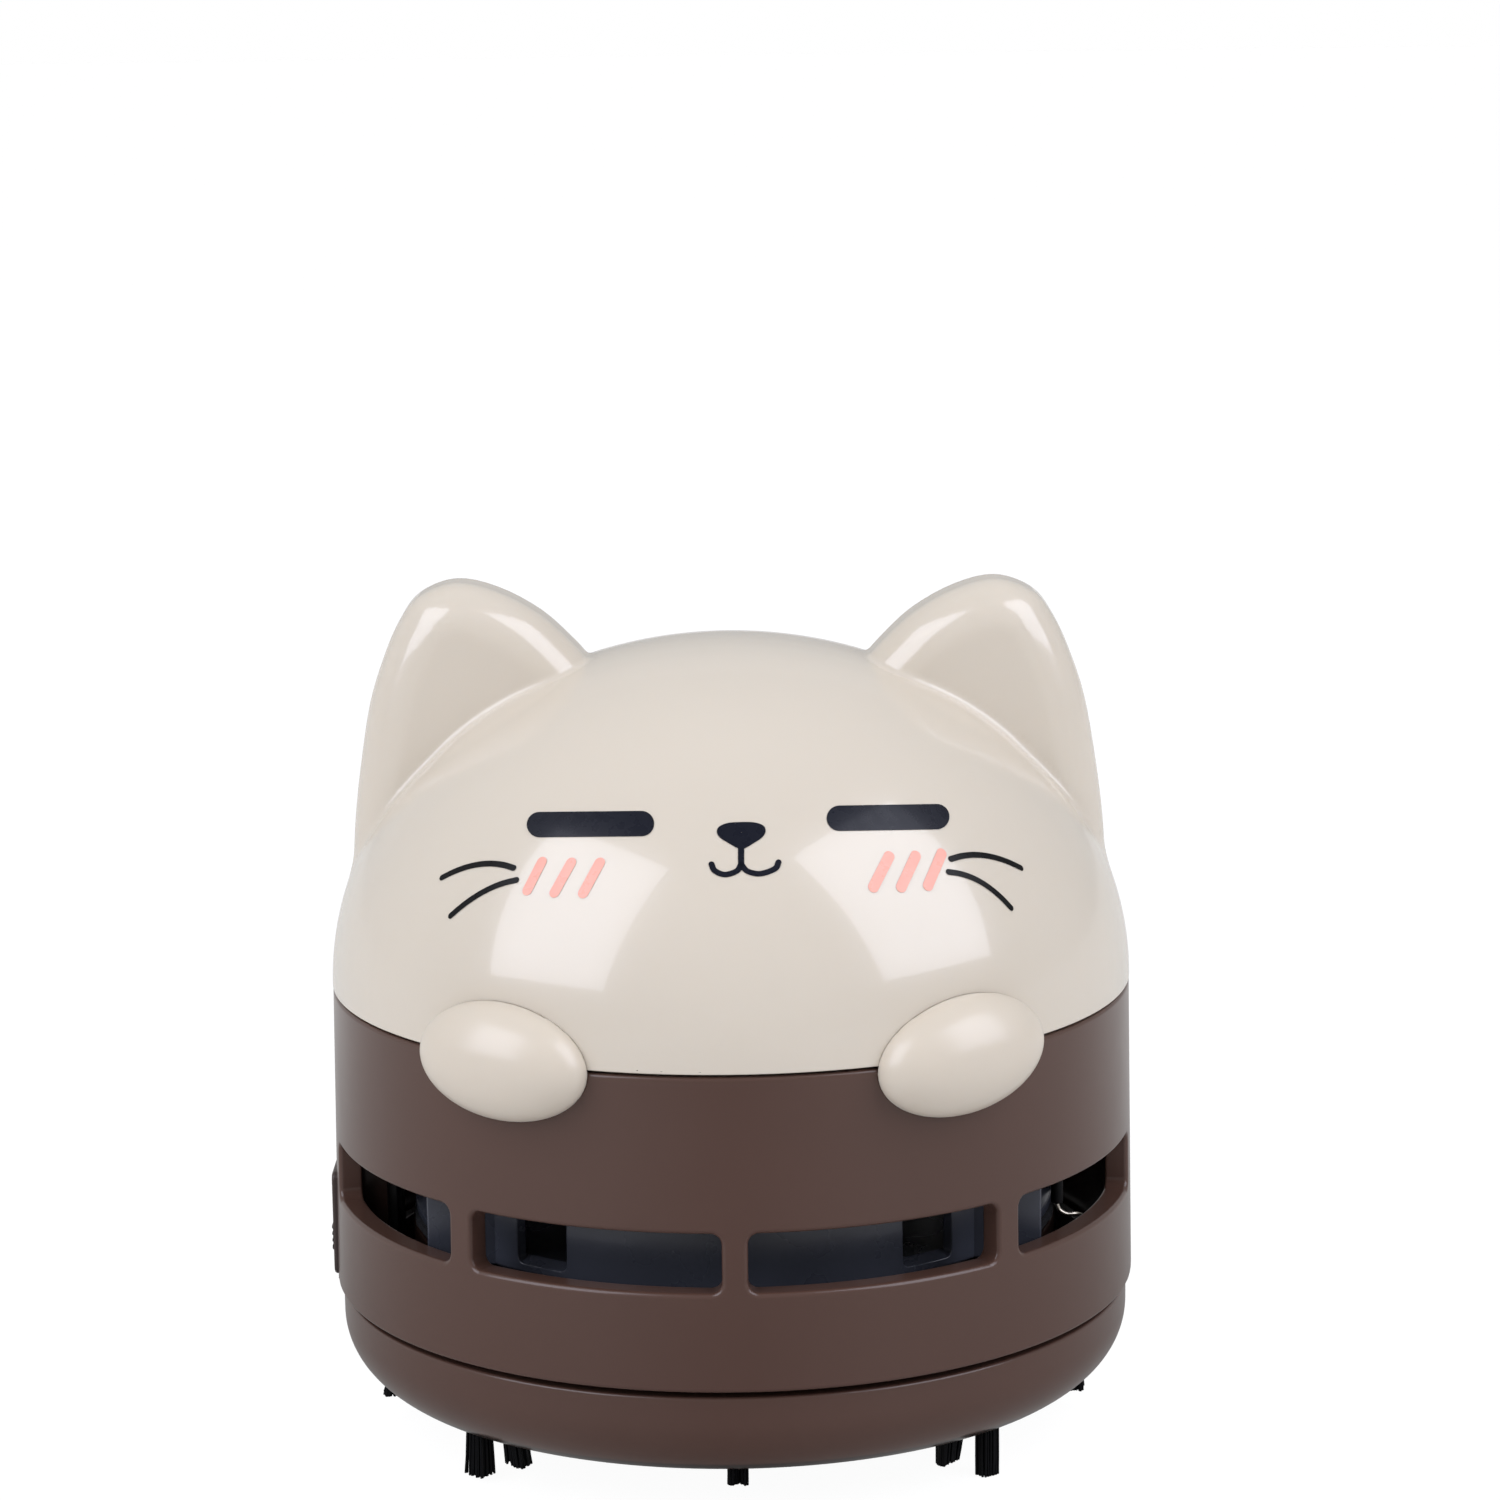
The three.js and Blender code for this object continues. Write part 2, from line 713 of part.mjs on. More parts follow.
function strand(x, y, tipX, tipY, tip, turn) {
  const sides = 3;
  const places = [];
  for (const [cx, cy, z] of [[tipX, tipY, tip], [x, y, stripBottom + strandRoot]]) {
    for (let i = 0; i < sides; i++) {
      const angle = turn + (i / sides) * 2 * halfTurn;
      places.push(cx + strandRadius * Math.cos(angle), cy + strandRadius * Math.sin(angle), z);
    }
  }
  const geometry = new THREE.BufferGeometry();
  geometry.setAttribute("position", new THREE.Float32BufferAttribute(places, 3));
  const faces = [2, 1, 0, 3, 4, 5];
  for (let i = 0; i < sides; i++) {
    const next = (i + 1) % sides;
    faces.push(i, next, sides + next, i, sides + next, sides + i);
  }
  geometry.setIndex(faces);
  return solid(geometry);
}

// A tuft at an azimuth. Its tips lean outwards by the lean, and ragged ones end at three heights.
function tuft({ azimuth, tip, lean, ragged }) {
  const strands = [];
  const fan = 1.12;
  for (let i = 0; i < strandRows; i++) {
    const count = strandRows - ((i + 1) % 2);
    for (let j = 0; j < count; j++) {
      const across = (i - (strandRows - 1) / 2) * strandPitch;
      const out = (j - (count - 1) / 2) * strandPitch;
      const [rootX, rootY] = bent(azimuth, stripRadius + out, across);
      const [tipX, tipY] = bent(azimuth, stripRadius + out * fan + lean, across * fan);
      const rise = ragged ? ((i * 2 + j) % 3) * raggedStep : 0;
      strands.push(strand(rootX, rootY, tipX, tipY, tip + rise, radians(azimuth)));
    }
  }
  return strands;
}

// A point beside the radius line of an azimuth.
function bent(azimuth, radius, across) {
  const angle = radians(azimuth);
  const [x, y] = around(azimuth, radius);
  return [x + across * Math.cos(angle), y + across * Math.sin(angle)];
}

const longTuft = (azimuth) => ({ azimuth, tip: longTuftTip, lean: 0, ragged: false });
const shortTuft = (azimuth) => ({ azimuth, tip: shortTuftTip, lean: shortTuftLean, ragged: true });
const middleTuft = (azimuth) => ({ azimuth, tip: frontTuftTip, lean: shortTuftLean, ragged: false });
const sideTuft = (azimuth) => ({ azimuth, tip: sideTuftTip, lean: sideTuftLean, ragged: false });
const longAzimuth = 45.3;
const shortAzimuth = 36.8;
const sideAzimuth = 79;

function bristleStrip(centre, reach, tufts) {
  const columns = [];
  const steps = Math.round(reach / 4);
  for (let i = 0; i <= steps; i++) {
    columns.push([centre - reach + (2 * reach * i) / steps, stripBottom, stripTop]);
  }
  const backing = bentBlock(columns, stripRadius - stripWidth / 2, stripRadius + stripWidth / 2);
  return join(backing, ...tufts.flatMap(tuft));
}

const frontReach = 52;
const sideReach = 20;
for (const [name, centre] of [["brush_front", 0], ["brush_rear", 180]]) {
  place(
    name,
    bristleStrip(centre, frontReach, [
      longTuft(centre - longAzimuth),
      shortTuft(centre - shortAzimuth),
      middleTuft(centre),
      shortTuft(centre + shortAzimuth),
      longTuft(centre + longAzimuth),
    ]),
    bristle,
  );
}
for (const [name, centre] of [["brush_right", 90], ["brush_left", -90]]) {
  const swing = 90 - sideAzimuth;
  place(name, bristleStrip(centre, sideReach, [sideTuft(centre - swing), sideTuft(centre + swing)]), bristle);
}

// Filter: a spoked ring in the dust cup, with a disc of net laid on its spokes
function filterFrame() {
  const inner = filterRadius - filterRingWidth;
  let frame = turned([
    [inner, filterBottom],
    [filterRadius, filterBottom],
    [filterRadius, filterBottom + filterFrameHeight],
    [inner, filterBottom + filterFrameHeight],
  ]);
  const reach = inner + filterRingWidth / 2;
  const half = filterSpokeWidth / 2;
  const spokeTop = filterBottom + filterSpokeHeight;
  frame = frame.add(block([-reach, reach], [-half, half], [filterBottom, spokeTop]));
  frame = frame.add(block([-half, half], [-reach, reach], [filterBottom, spokeTop]));
  return frame.add(rod(filterHubRadius, filterBottom, spokeTop));
}

const netBottom = filterBottom + filterSpokeHeight + fitGap;
place("filter_frame", filterFrame(), black);
place(
  "filter_net",
  rod(filterRadius - filterRingWidth - fitGap, netBottom, netBottom + filterMeshThickness, innerSegments),
  netWhite,
);

// Foam seal between the dust cup's skirt and the fan housing
place(
  "cup_seal",
  turned([
    [cupBore, cupTop + fitGap],
    [cupRadius, cupTop + fitGap],
    [cupRadius, cupTop + fitGap + sealThickness],
    [cupBore, cupTop + fitGap + sealThickness],
  ]),
  foam,
);

// Fan housing: a drum with an eye in its floor, side windows, three screw posts and two wings
// that part the air blown to the front from the air blown to the sides
const housingWindows = [
  [35, 10.4],
  [68, 34],
  [140, 24],
];

function fanHousing() {
  const windowFloor = housingFloorTop - windowSink;
  const windowCeiling = housingTop - housingLintel;
  let drum = turned([
    [eyeRadius, housingBottom],
    [housingRadius, housingBottom],
    [housingRadius, housingTop],
    [housingBore, housingTop],
    [housingBore, housingFloorTop],
    [eyeRadius, housingFloorTop],
  ]);
  for (const [centre, width] of housingWindows) {
    for (const side of [1, -1]) {
      const columns = windowColumns(
        centre * side, width, windowFloor, windowCeiling, housingWall / 2, housingRadius,
      );
      drum = cut(drum, bentBlock(columns, housingBore - overrun, housingRadius + overrun));
    }
  }
  const [wingRootX, wingY] = around(wingAzimuth, housingRadius - housingWall / 2);
  const wingTipX = Math.sqrt((barrelBore - wingGap) ** 2 - (wingY - wingThickness / 2) ** 2);
  for (const side of [1, -1]) {
    const wing = block(
      [Math.min(wingRootX * side, wingTipX * side), Math.max(wingRootX * side, wingTipX * side)],
      [wingY - wingThickness / 2, wingY + wingThickness / 2],
      [housingBottom, housingTop],
    );
    drum = drum.add(wing);
  }
  for (const azimuth of postAzimuths) {
    const [x, y] = around(azimuth, postCircleRadius);
    const post = rod(postRadius, housingBottom, housingTop).translate(x, y, 0);
    const hole = rod(screwHole, housingBottom - overrun, housingTop + overrun).translate(x, y, 0);
    const recess = rod(headHole, housingBottom - overrun, housingBottom + screwHeadHeight + fitGap);
    drum = cut(join(drum, post), hole, recess.translate(x, y, 0));
  }
  return drum;
}

place("fan_housing", fanHousing(), nightBlue);

// A screw with its head down (or up), its shank towards +Z (or -Z).
function screw(headFace, length, upwards) {
  const profile = [
    [0, 0],
    [screwHeadRadius, 0],
    [screwHeadRadius, screwHeadHeight],
    [screwRadius, screwHeadHeight],
    [screwRadius, screwHeadHeight + length],
    [0, screwHeadHeight + length],
  ];
  const shape = turned(profile, screwSegments);
  return (upwards ? shape : shape.rotate([180, 0, 0])).translate(0, 0, headFace);
}

postAzimuths.forEach((azimuth, i) => {
  const [x, y] = around(azimuth, postCircleRadius);
  const length = deckBottom + housingScrewGrip - fitGap - housingBottom - screwHeadHeight;
  place(`housing_screw_${i + 1}`, screw(housingBottom, length, true).translate(x, y, 0), steel);
});

[motorScrewSpacing / 2, -motorScrewSpacing / 2].forEach((x, i) => {
  const head = deckBottom - fitGap / 2;
  const length = canFloorTop + fitGap - head - screwHeadHeight;
  place(`motor_screw_${i + 1}`, screw(head, length, true).translate(x, 0, 0), steel);
});

// Impeller: a disc with nine curved blades below it and a hub on the shaft
function impeller() {
  let fan = turned([
    [shaftBore, impellerDiscBottom],
    [impellerRadius, impellerDiscBottom],
    [impellerRadius, impellerTop],
    [shaftBore, impellerTop],
  ]);
  fan = fan.add(
    turned(
      [
        [shaftBore, hubBottom],
        [hubRadius, hubBottom],
        [hubRadius, impellerTop],
        [shaftBore, impellerTop],
      ],
      smallSegments,
    ),
  );
  const bladeCount = 9;
  const bladeSteps = 4;
  const bladeSweep = 38; // degrees
  const edgeRun = impellerRadius - bladeInnerRadius - bladeThickness / 2;
  const edge = (offset) => {
    const points = [];
    for (let i = 0; i <= bladeSteps; i++) {
      const share = i / bladeSteps;
      const radius = bladeInnerRadius + edgeRun * share;
      const angle = radians(bladeSweep * share ** 1.3) + offset / radius;
      points.push(new THREE.Vector2(radius * Math.cos(angle), radius * Math.sin(angle)));
    }
    return points;
  };
  const outline = [...edge(-bladeThickness / 2), ...edge(bladeThickness / 2).reverse()];
  const depth = bladeHeight + impellerDisc / 2;
  const blade = new THREE.ExtrudeGeometry(new THREE.Shape(outline), { depth, bevelEnabled: false });
  const bladeSolid = solid(blade.translate(0, 0, impellerDiscBottom - bladeHeight));
  for (let i = 0; i < bladeCount; i++) {
    fan = fan.add(bladeSolid.rotate([0, 0, (i / bladeCount) * 360]));
  }
  return fan;
}

place("impeller", impeller(), black);

// Motor: steel can with its nose in the deck, magnets, rotor on the shaft, and end cap
const motorShaftTop = capSocketTop - fitGap;
place("motor_shaft", rod(shaftRadius, hubBottom, motorShaftTop, smallSegments), steel);

function motorCan() {
  const can = turned([
    [shaftBore, canBottom - canNoseHeight],
    [canNoseRadius, canBottom - canNoseHeight],
    [canNoseRadius, canBottom],
    [canRadius, canBottom],
    [canRadius, canTop],
    [canBore, canTop],
    [canBore, canFloorTop],
    [shaftBore, canFloorTop],
  ], motorSegments);
  const hole = rod(screwHole, canBottom - overrun, canFloorTop + overrun);
  const half = motorScrewSpacing / 2;
  return cut(can, hole.translate(half, 0, 0), hole.translate(-half, 0, 0));
}

function endCap() {
  const cap = turned([
    [0, capSocketTop],
    [shaftBore, capSocketTop],
    [shaftBore, capBottom],
    [canBore - fitGap, capBottom],
    [canBore - fitGap, capTop],
    [capNoseRadius, capTop],
    [capNoseRadius, capTop + capNoseHeight],
    [0, capTop + capNoseHeight],
  ], motorSegments);
  const slots = [1, -1].map((side) => {
    const x = (side * terminalSpacing) / 2;
    const halfThick = terminalThickness / 2 + fitGap;
    const halfWide = terminalWidth / 2 + fitGap;
    const heights = [capBottom - overrun, capTop + overrun];
    return block([x - halfThick, x + halfThick], [-halfWide, halfWide], heights);
  });
  return cut(cap, ...slots);
}

place("motor_can", motorCan(), steel);
place("motor_end_cap", endCap(), black);

[1, -1].forEach((side, i) => {
  const x = (side * terminalSpacing) / 2;
  const half = terminalThickness / 2;
  const ys = [-terminalWidth / 2, terminalWidth / 2];
  const blade = block([x - half, x + half], ys, [capBottom, capTop + terminalHeight]);
  place(`motor_terminal_${i + 1}`, blade, nickel);
});

const rotorMiddle = (canFloorTop + capBottom) / 2;
place(
  "motor_rotor",
  turned([
    [shaftBore, rotorMiddle - rotorHeight / 2],
    [rotorRadius, rotorMiddle - rotorHeight / 2],
    [rotorRadius, rotorMiddle + rotorHeight / 2],
    [shaftBore, rotorMiddle + rotorHeight / 2],
  ], motorSegments),
  lamination,
);

[90, -90].forEach((centre, i) => {
  const steps = 10;
  const columns = [];
  for (let k = 0; k <= steps; k++) {
    const azimuth = centre - magnetSpan / 2 + (magnetSpan * k) / steps;
    columns.push([azimuth, rotorMiddle - magnetHeight / 2, rotorMiddle + magnetHeight / 2]);
  }
  const outer = canBore - fitGap;
  place(`motor_magnet_${i + 1}`, bentBlock(columns, outer - magnetThickness, outer), ferrite);
});

// Battery tray on two posts, two AA cells head to tail, springs and contact plates
function batteryTray() {
  const outerX = trayHalfLength + trayWall;
  const outerY = trayHalfWidth + trayWall;
  let tray = block([-outerX, outerX], [-outerY, outerY], [trayFloorHeight, trayTopOfFloor + trayEndHeight]);
  tray = cut(
    tray,
    block(
      [-trayHalfLength, trayHalfLength],
      [-trayHalfWidth, trayHalfWidth],
      [trayTopOfFloor, trayTopOfFloor + trayEndHeight + overrun],
    ),
    block(
      [-trayHalfLength, trayHalfLength],
      [-outerY - overrun, outerY + overrun],
      [trayTopOfFloor + traySideHeight, trayTopOfFloor + trayEndHeight + overrun],
    ),
  );
  for (const y of trayPosts) {
    const side = Math.sign(y) * (outerY - trayWall / 2);
    const lug = join(
      rod(lugRadius, trayFloorHeight, trayTopOfFloor).translate(0, y, 0),
      block(
        [-lugRadius, lugRadius],
        [Math.min(side, y), Math.max(side, y)],
        [trayFloorHeight, trayTopOfFloor],
      ),
    );
    const hole = rod(screwHole, trayFloorHeight - overrun, trayTopOfFloor + overrun).translate(0, y, 0);
    tray = cut(join(tray, lug), hole);
  }
  for (const y of [cellPitch / 2, -cellPitch / 2]) {
    const slot = block(
      [contactInnerX - fitGap, trayHalfLength],
      [y - contactTabWidth / 2 - fitGap, y + contactTabWidth / 2 + fitGap],
      [trayFloorHeight - overrun, trayTopOfFloor + overrun],
    );
    tray = cut(tray, slot);
  }
  return tray;
}

place("battery_tray", batteryTray(), black);

const cellSegments = 20;

// A cell whose plus end points to +X or -X.
function cell(direction, y) {
  const bodyLength = cellLength - nubHeight;
  const shape = turned(
    [
      [0, 0],
      [cellRadius - cellEdge, 0],
      [cellRadius, cellEdge],
      [cellRadius, bodyLength - cellEdge],
      [cellRadius - cellEdge, bodyLength],
      [nubRadius, bodyLength],
      [nubRadius, cellLength],
      [0, cellLength],
    ],
    cellSegments,
  );
  return shape
    .rotate([0, 90 * direction, 0])
    .translate(direction * (cellFaceX - cellLength), y, cellHeight);
}

const cells = [
  [1, cellPitch / 2],
  [-1, -cellPitch / 2],
];
cells.forEach(([direction, y], i) => {
  place(`battery_cell_${i + 1}`, cell(direction, y), cellWrap);
});

// A conical spring of round wire between its contact and the flat end of a cell.
function conicalSpring(direction, y) {
  const turns = 3;
  const stepsPerTurn = 8;
  const wireSides = 5;
  const steps = turns * stepsPerTurn;
  const run = springLength - springWire;
  const places = [];
  const centres = [];
  for (let i = 0; i <= steps; i++) {
    const share = i / steps;
    const angle = share * turns * 2 * halfTurn;
    const radius = springFootRadius + (springTipRadius - springFootRadius) * share - springWire / 2;
    centres.push(new THREE.Vector3(radius * Math.cos(angle), radius * Math.sin(angle), run * share));
    for (let k = 0; k < wireSides; k++) {
      const spin = (k / wireSides) * 2 * halfTurn;
      const across = radius + (springWire / 2) * Math.cos(spin);
      const along = springWire / 2 + run * share + (springWire / 2) * Math.sin(spin);
      places.push(across * Math.cos(angle), across * Math.sin(angle), along);
    }
  }
  const faces = [];
  for (let i = 0; i < steps; i++) {
    for (let k = 0; k < wireSides; k++) {
      const next = (k + 1) % wireSides;
      const [a, b] = [i * wireSides + k, i * wireSides + next];
      faces.push(a, b + wireSides, b, a, a + wireSides, b + wireSides);
    }
  }
  const last = steps * wireSides;
  for (let k = 1; k + 1 < wireSides; k++) {
    faces.push(0, k, k + 1);
    faces.push(last, last + k + 1, last + k);
  }
  const geometry = new THREE.BufferGeometry();
  geometry.setAttribute("position", new THREE.Float32BufferAttribute(places, 3));
  geometry.setIndex(faces);
  const foot = direction * (contactInnerX - fitGap);
  geometry.rotateY((-direction * halfTurn) / 2).translate(foot, y, cellHeight);
  console.log("contact spring, least gap between its turns:", leastGap(centres, stepsPerTurn).toFixed(2));
  return geometry;
}

// The least gap between points of the wire that are half a turn or more apart.
function leastGap(centres, stepsPerTurn) {
  let least = Infinity;
  for (let i = 0; i < centres.length; i++) {
    for (let j = i + stepsPerTurn / 2; j < centres.length; j++) {
      least = Math.min(least, centres[i].distanceTo(centres[j]) - springWire);
    }
  }
  return least;
}

place("contact_spring_1", conicalSpring(-1, cellPitch / 2), steel);
place("contact_spring_2", conicalSpring(1, -cellPitch / 2), steel);

const contactTop = trayTopOfFloor + trayEndHeight - fitGap;
function contactPlate(side, y, width) {
  const [inner, outer] = [contactInnerX, contactInnerX + contactThickness];
  const xs = side > 0 ? [inner, outer] : [-outer, -inner];
  return block(xs, [y - width / 2, y + width / 2], [trayTopOfFloor + fitGap, contactTop]);
}

for (const [name, y] of [["contact_plus", cellPitch / 2], ["contact_minus", -cellPitch / 2]]) {
  const tab = block(
    [contactInnerX, contactInnerX + contactThickness],
    [y - contactTabWidth / 2, y + contactTabWidth / 2],
    [trayFloorHeight - contactTabDrop, contactTop],
  );
  place(name, contactPlate(1, y, contactWidth).add(tab), nickel);
}
place("contact_bridge", contactPlate(-1, 0, cellPitch + contactWidth), nickel);

trayPosts.forEach((y, i) => {
  const head = trayTopOfFloor + fitGap + screwHeadHeight;
  const length = trayScrewLength + trayFloorThickness - screwHeadHeight;
  place(`tray_screw_${i + 1}`, screw(head, length, false).translate(0, y, 0), steel);
});

// Slide switch: face plate in the barrel's wall, knob, switch block between its ribs, two pins
const knobReach = knobHeight / 2;

function switchPlate() {
  const plate = block(
    [-plateFace, -plateFace + plateThickness],
    [-plateWidth / 2, plateWidth / 2],
    [plateBottom, plateTop],
  );
  const slot = block(
    [-plateFace - overrun, -plateFace + plateThickness + overrun],
    [-knobWidth / 2 - fitGap, knobWidth / 2 + fitGap],
    [knobRestHeight - knobReach - fitGap, knobRestHeight + knobTravel + knobReach + fitGap],
  );
  return cut(plate, slot);
}

function switchKnob() {
  let knob = block(
    [-plateFace - knobProud, -plateFace + knobStemDepth],
    [-knobWidth / 2, knobWidth / 2],
    [knobRestHeight - knobReach, knobRestHeight + knobReach],
  );
  const pitch = knobHeight / (ridgeCount + 1);
  for (let i = 0; i < ridgeCount; i++) {
    const middle = knobRestHeight - knobReach + pitch * (i + 1);
    const groove = block(
      [-plateFace - knobProud - overrun, -plateFace - knobProud + ridgeDepth],
      [-knobWidth, knobWidth],
      [middle - ridgeWidth / 2, middle + ridgeWidth / 2],
    );
    knob = cut(knob, groove);
  }
  return knob;
}

function switchBlock() {
  const box = block(
    [-switchOuterX, -switchInnerX],
    [-switchWidth / 2, switchWidth / 2],
    [switchBottom, switchTop],
  );
  const track = block(
    [-switchOuterX - overrun, -plateFace + knobStemDepth + fitGap],
    [-knobWidth / 2 - fitGap, knobWidth / 2 + fitGap],
    [switchBottom - overrun, knobRestHeight + knobTravel + knobReach + fitGap],
  );
  const sockets = [1, -1].map((side) => {
    const y = (side * pinSpacing) / 2;
    return block(
      [-leadSwitchX - pinThickness / 2 - fitGap, -leadSwitchX + pinThickness / 2 + fitGap],
      [y - pinWidth / 2 - fitGap, y + pinWidth / 2 + fitGap],
      [switchTop - pinSocket - fitGap, switchTop + overrun],
    );
  });
  return cut(box, track, ...sockets);
}

place("switch_plate", switchPlate(), darkBrown);
place("switch_knob", switchKnob(), darkBrown);
place("switch_block", switchBlock(), black);
[-1, 1].forEach((side, i) => {
  const y = (side * pinSpacing) / 2;
  place(
    `switch_pin_${i + 1}`,
    block(
      [-leadSwitchX - pinThickness / 2, -leadSwitchX + pinThickness / 2],
      [y - pinWidth / 2, y + pinWidth / 2],
      [switchTop - pinSocket, switchTop + pinHeight],
    ),
    nickel,
  );
});

// Lead wires along their routes, each from one solder tab to the next. The points between the ends
// are shares: two of the distance from the axis to the switch's pins, and one of the way up from the
// deck to the battery's tabs.
const pinTop = switchTop + pinHeight + fitGap;
const tabBottom = trayFloorHeight - contactTabDrop - fitGap;
const tabX = contactInnerX + contactThickness / 2;
const pinY = pinSpacing / 2;
const motorTabX = terminalSpacing / 2 + terminalThickness / 2 + fitGap;
const motorTabHeight = capTop + capNoseHeight + slideGap;
const throughDeck = deckBottom - wall;

function laid(shares) {
  return shares.map(([x, y, up]) => [
    x * leadSwitchX,
    y * leadSwitchX,
    deckTop + up * (tabBottom - deckTop),
  ]);
}

const plusRouteShares = [
  [0.735, 0.205, 0.795],
  [0.688, 0.338, 0.538],
  [0.364, 0.714, 0.462],
  [-0.078, 0.805, 0.462],
  [-0.545, 0.636, 0.462],
  [-0.857, 0.312, 0.417],
  [-0.977, 0.13, 0.235],
];
const plusRoute = [
  [tabX, cellPitch / 2, tabBottom],
  ...laid(plusRouteShares),
  [-leadSwitchX, pinY, deckTop],
  [-leadSwitchX, pinY, throughDeck],
  [-leadSwitchX, pinY, pinTop],
];
place("lead_battery_switch", tube(plusRoute, leadRadius, 30), redWire);

const switchedRouteShares = [
  [-0.943, -0.078, 0.311],
  [-0.753, -0.104, 0.606],
  [-0.468, -0.094, 0.947],
];
const switchedRoute = [
  [-leadSwitchX, -pinY, pinTop],
  [-leadSwitchX, -pinY, throughDeck],
  [-leadSwitchX, -pinY, deckTop],
  ...laid(switchedRouteShares),
  [-terminalSpacing, -terminalWidth, motorTabHeight],
  [-motorTabX, 0, motorTabHeight],
];
place("lead_switch_motor", tube(switchedRoute, leadRadius, 18), redWire);

const minusRouteShares = [
  [0.714, -0.187, 0.856],
  [0.571, -0.143, 0.871],
];
const minusRoute = [
  [tabX, -cellPitch / 2, tabBottom],
  ...laid(minusRouteShares),
  [canRadius + wall, -terminalWidth, motorTabHeight],
  [terminalSpacing, -terminalThickness, motorTabHeight],
  [motorTabX, 0, motorTabHeight],
];
place("lead_battery_motor", tube(minusRoute, leadRadius, 14), blackWire);

// The lead soldered to the motor can, and its bare tinned end in the vent on the right
const [canX, canY] = around(canLeadStart, canRadius + fitGap);
const [holeX, holeY] = around(canLeadAzimuth, leadSwitchX);
const canLeadBottom = deckBottom - canLeadEnd;
const canRouteShares = [
  [0.377, -0.281, 0.689],
  [0.597, -0.429, 0.53],
  [0.779, -0.509, 0.265],
];
const canRoute = [
  [canX, canY, canTop - canLeadDrop],
  ...laid(canRouteShares),
  [holeX, holeY, deckTop],
  [holeX, holeY, throughDeck],
  [holeX, holeY, canLeadBottom],
];
place("lead_can", tube(canRoute, leadRadius, 18), blackWire);

// Shares of its turn, of the way out to the barrel's bore and of its drop
const tinnedRouteShares = [
  [0, 0, 0],
  [0.05, 0.17, 0.43],
  [0.2, 0.49, 0.7],
  [0.53, 0.885, 0.75],
  [1, 1, 1],
];
const tinnedReach = barrelBore - tinnedRadius - fitGap - leadSwitchX;
const tinnedRoute = tinnedRouteShares.map(([turn, out, down]) => [
  ...around(canLeadAzimuth + turn * tinnedTurn, leadSwitchX + out * tinnedReach),
  canLeadBottom - fitGap - down * tinnedDrop,
]);
place("lead_can_tip", tube(tinnedRoute, tinnedRadius, 12), steel);

export default vacuum;
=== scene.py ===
"""Looks of the desktop mini vacuum cleaner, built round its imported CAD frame.

Shapes are worked out in millimetres and written to meshes in metres. Azimuths are in degrees from
the front (-Y), and positive ones turn towards +X. Normals are given with the points.
"""

import json
import math
import random
from itertools import product

import bmesh
import bpy
import numpy as np
from mathutils import Matrix, Vector


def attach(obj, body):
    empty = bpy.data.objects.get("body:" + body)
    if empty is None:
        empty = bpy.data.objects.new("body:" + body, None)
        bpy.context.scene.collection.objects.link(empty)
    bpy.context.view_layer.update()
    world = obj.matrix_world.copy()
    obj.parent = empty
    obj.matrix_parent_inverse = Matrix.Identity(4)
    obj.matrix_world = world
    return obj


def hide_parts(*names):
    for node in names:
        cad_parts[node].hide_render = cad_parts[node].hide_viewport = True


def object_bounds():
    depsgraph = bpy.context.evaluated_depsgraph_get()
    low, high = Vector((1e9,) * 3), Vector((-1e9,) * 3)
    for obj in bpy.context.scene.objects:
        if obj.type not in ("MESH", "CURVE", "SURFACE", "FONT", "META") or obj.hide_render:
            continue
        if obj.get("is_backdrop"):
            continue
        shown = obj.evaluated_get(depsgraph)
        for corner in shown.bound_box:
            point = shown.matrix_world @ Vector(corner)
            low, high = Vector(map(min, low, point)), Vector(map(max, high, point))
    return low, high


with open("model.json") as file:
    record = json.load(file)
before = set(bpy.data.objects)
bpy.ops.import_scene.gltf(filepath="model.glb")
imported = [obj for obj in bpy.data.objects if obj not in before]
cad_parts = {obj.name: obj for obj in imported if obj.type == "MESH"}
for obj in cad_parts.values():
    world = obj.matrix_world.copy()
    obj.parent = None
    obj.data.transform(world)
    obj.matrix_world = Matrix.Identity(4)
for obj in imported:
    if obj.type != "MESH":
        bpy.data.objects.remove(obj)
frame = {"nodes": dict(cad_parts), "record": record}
cad_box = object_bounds()
MM = 0.001
rng = random.Random(11)

# Camera, fitted to the barrel's rims, the dome and the ears in the photograph
PHOTO, FOCAL = 1500, 4158  # side and focal length in the photograph's pixels
SENSOR = 36
CAMERA_DISTANCE, CAMERA_ELEVATION, CAMERA_ROLL = 450, 10.9, 0.70
CAMERA_ORBIT, CAMERA_AIM = (0, 0, 72.82), (2.36, 0, 72.8)


def add_camera():
    elevation, roll = math.radians(CAMERA_ELEVATION), math.radians(CAMERA_ROLL)
    backwards = Vector((0, -math.cos(elevation), math.sin(elevation)))
    place = Vector(CAMERA_ORBIT) * MM + backwards * CAMERA_DISTANCE * MM
    forward = (Vector(CAMERA_AIM) * MM - place).normalized()
    right = forward.cross(Vector((0, 0, 1))).normalized()
    up = right.cross(forward)
    turned_right = right * math.cos(roll) - up * math.sin(roll)
    turned_up = right * math.sin(roll) + up * math.cos(roll)
    turn = Matrix((turned_right, turned_up, -forward)).transposed()
    data = bpy.data.cameras.new("camera")
    data.sensor_width = SENSOR
    data.lens = SENSOR * FOCAL / PHOTO
    data.clip_start = 0.01
    camera = bpy.data.objects.new("camera", data)
    camera.matrix_world = Matrix.Translation(place) @ turn.to_4x4()
    bpy.context.scene.collection.objects.link(camera)
    bpy.context.scene.camera = camera


add_camera()
bpy.context.scene.view_settings.view_transform = "Standard"


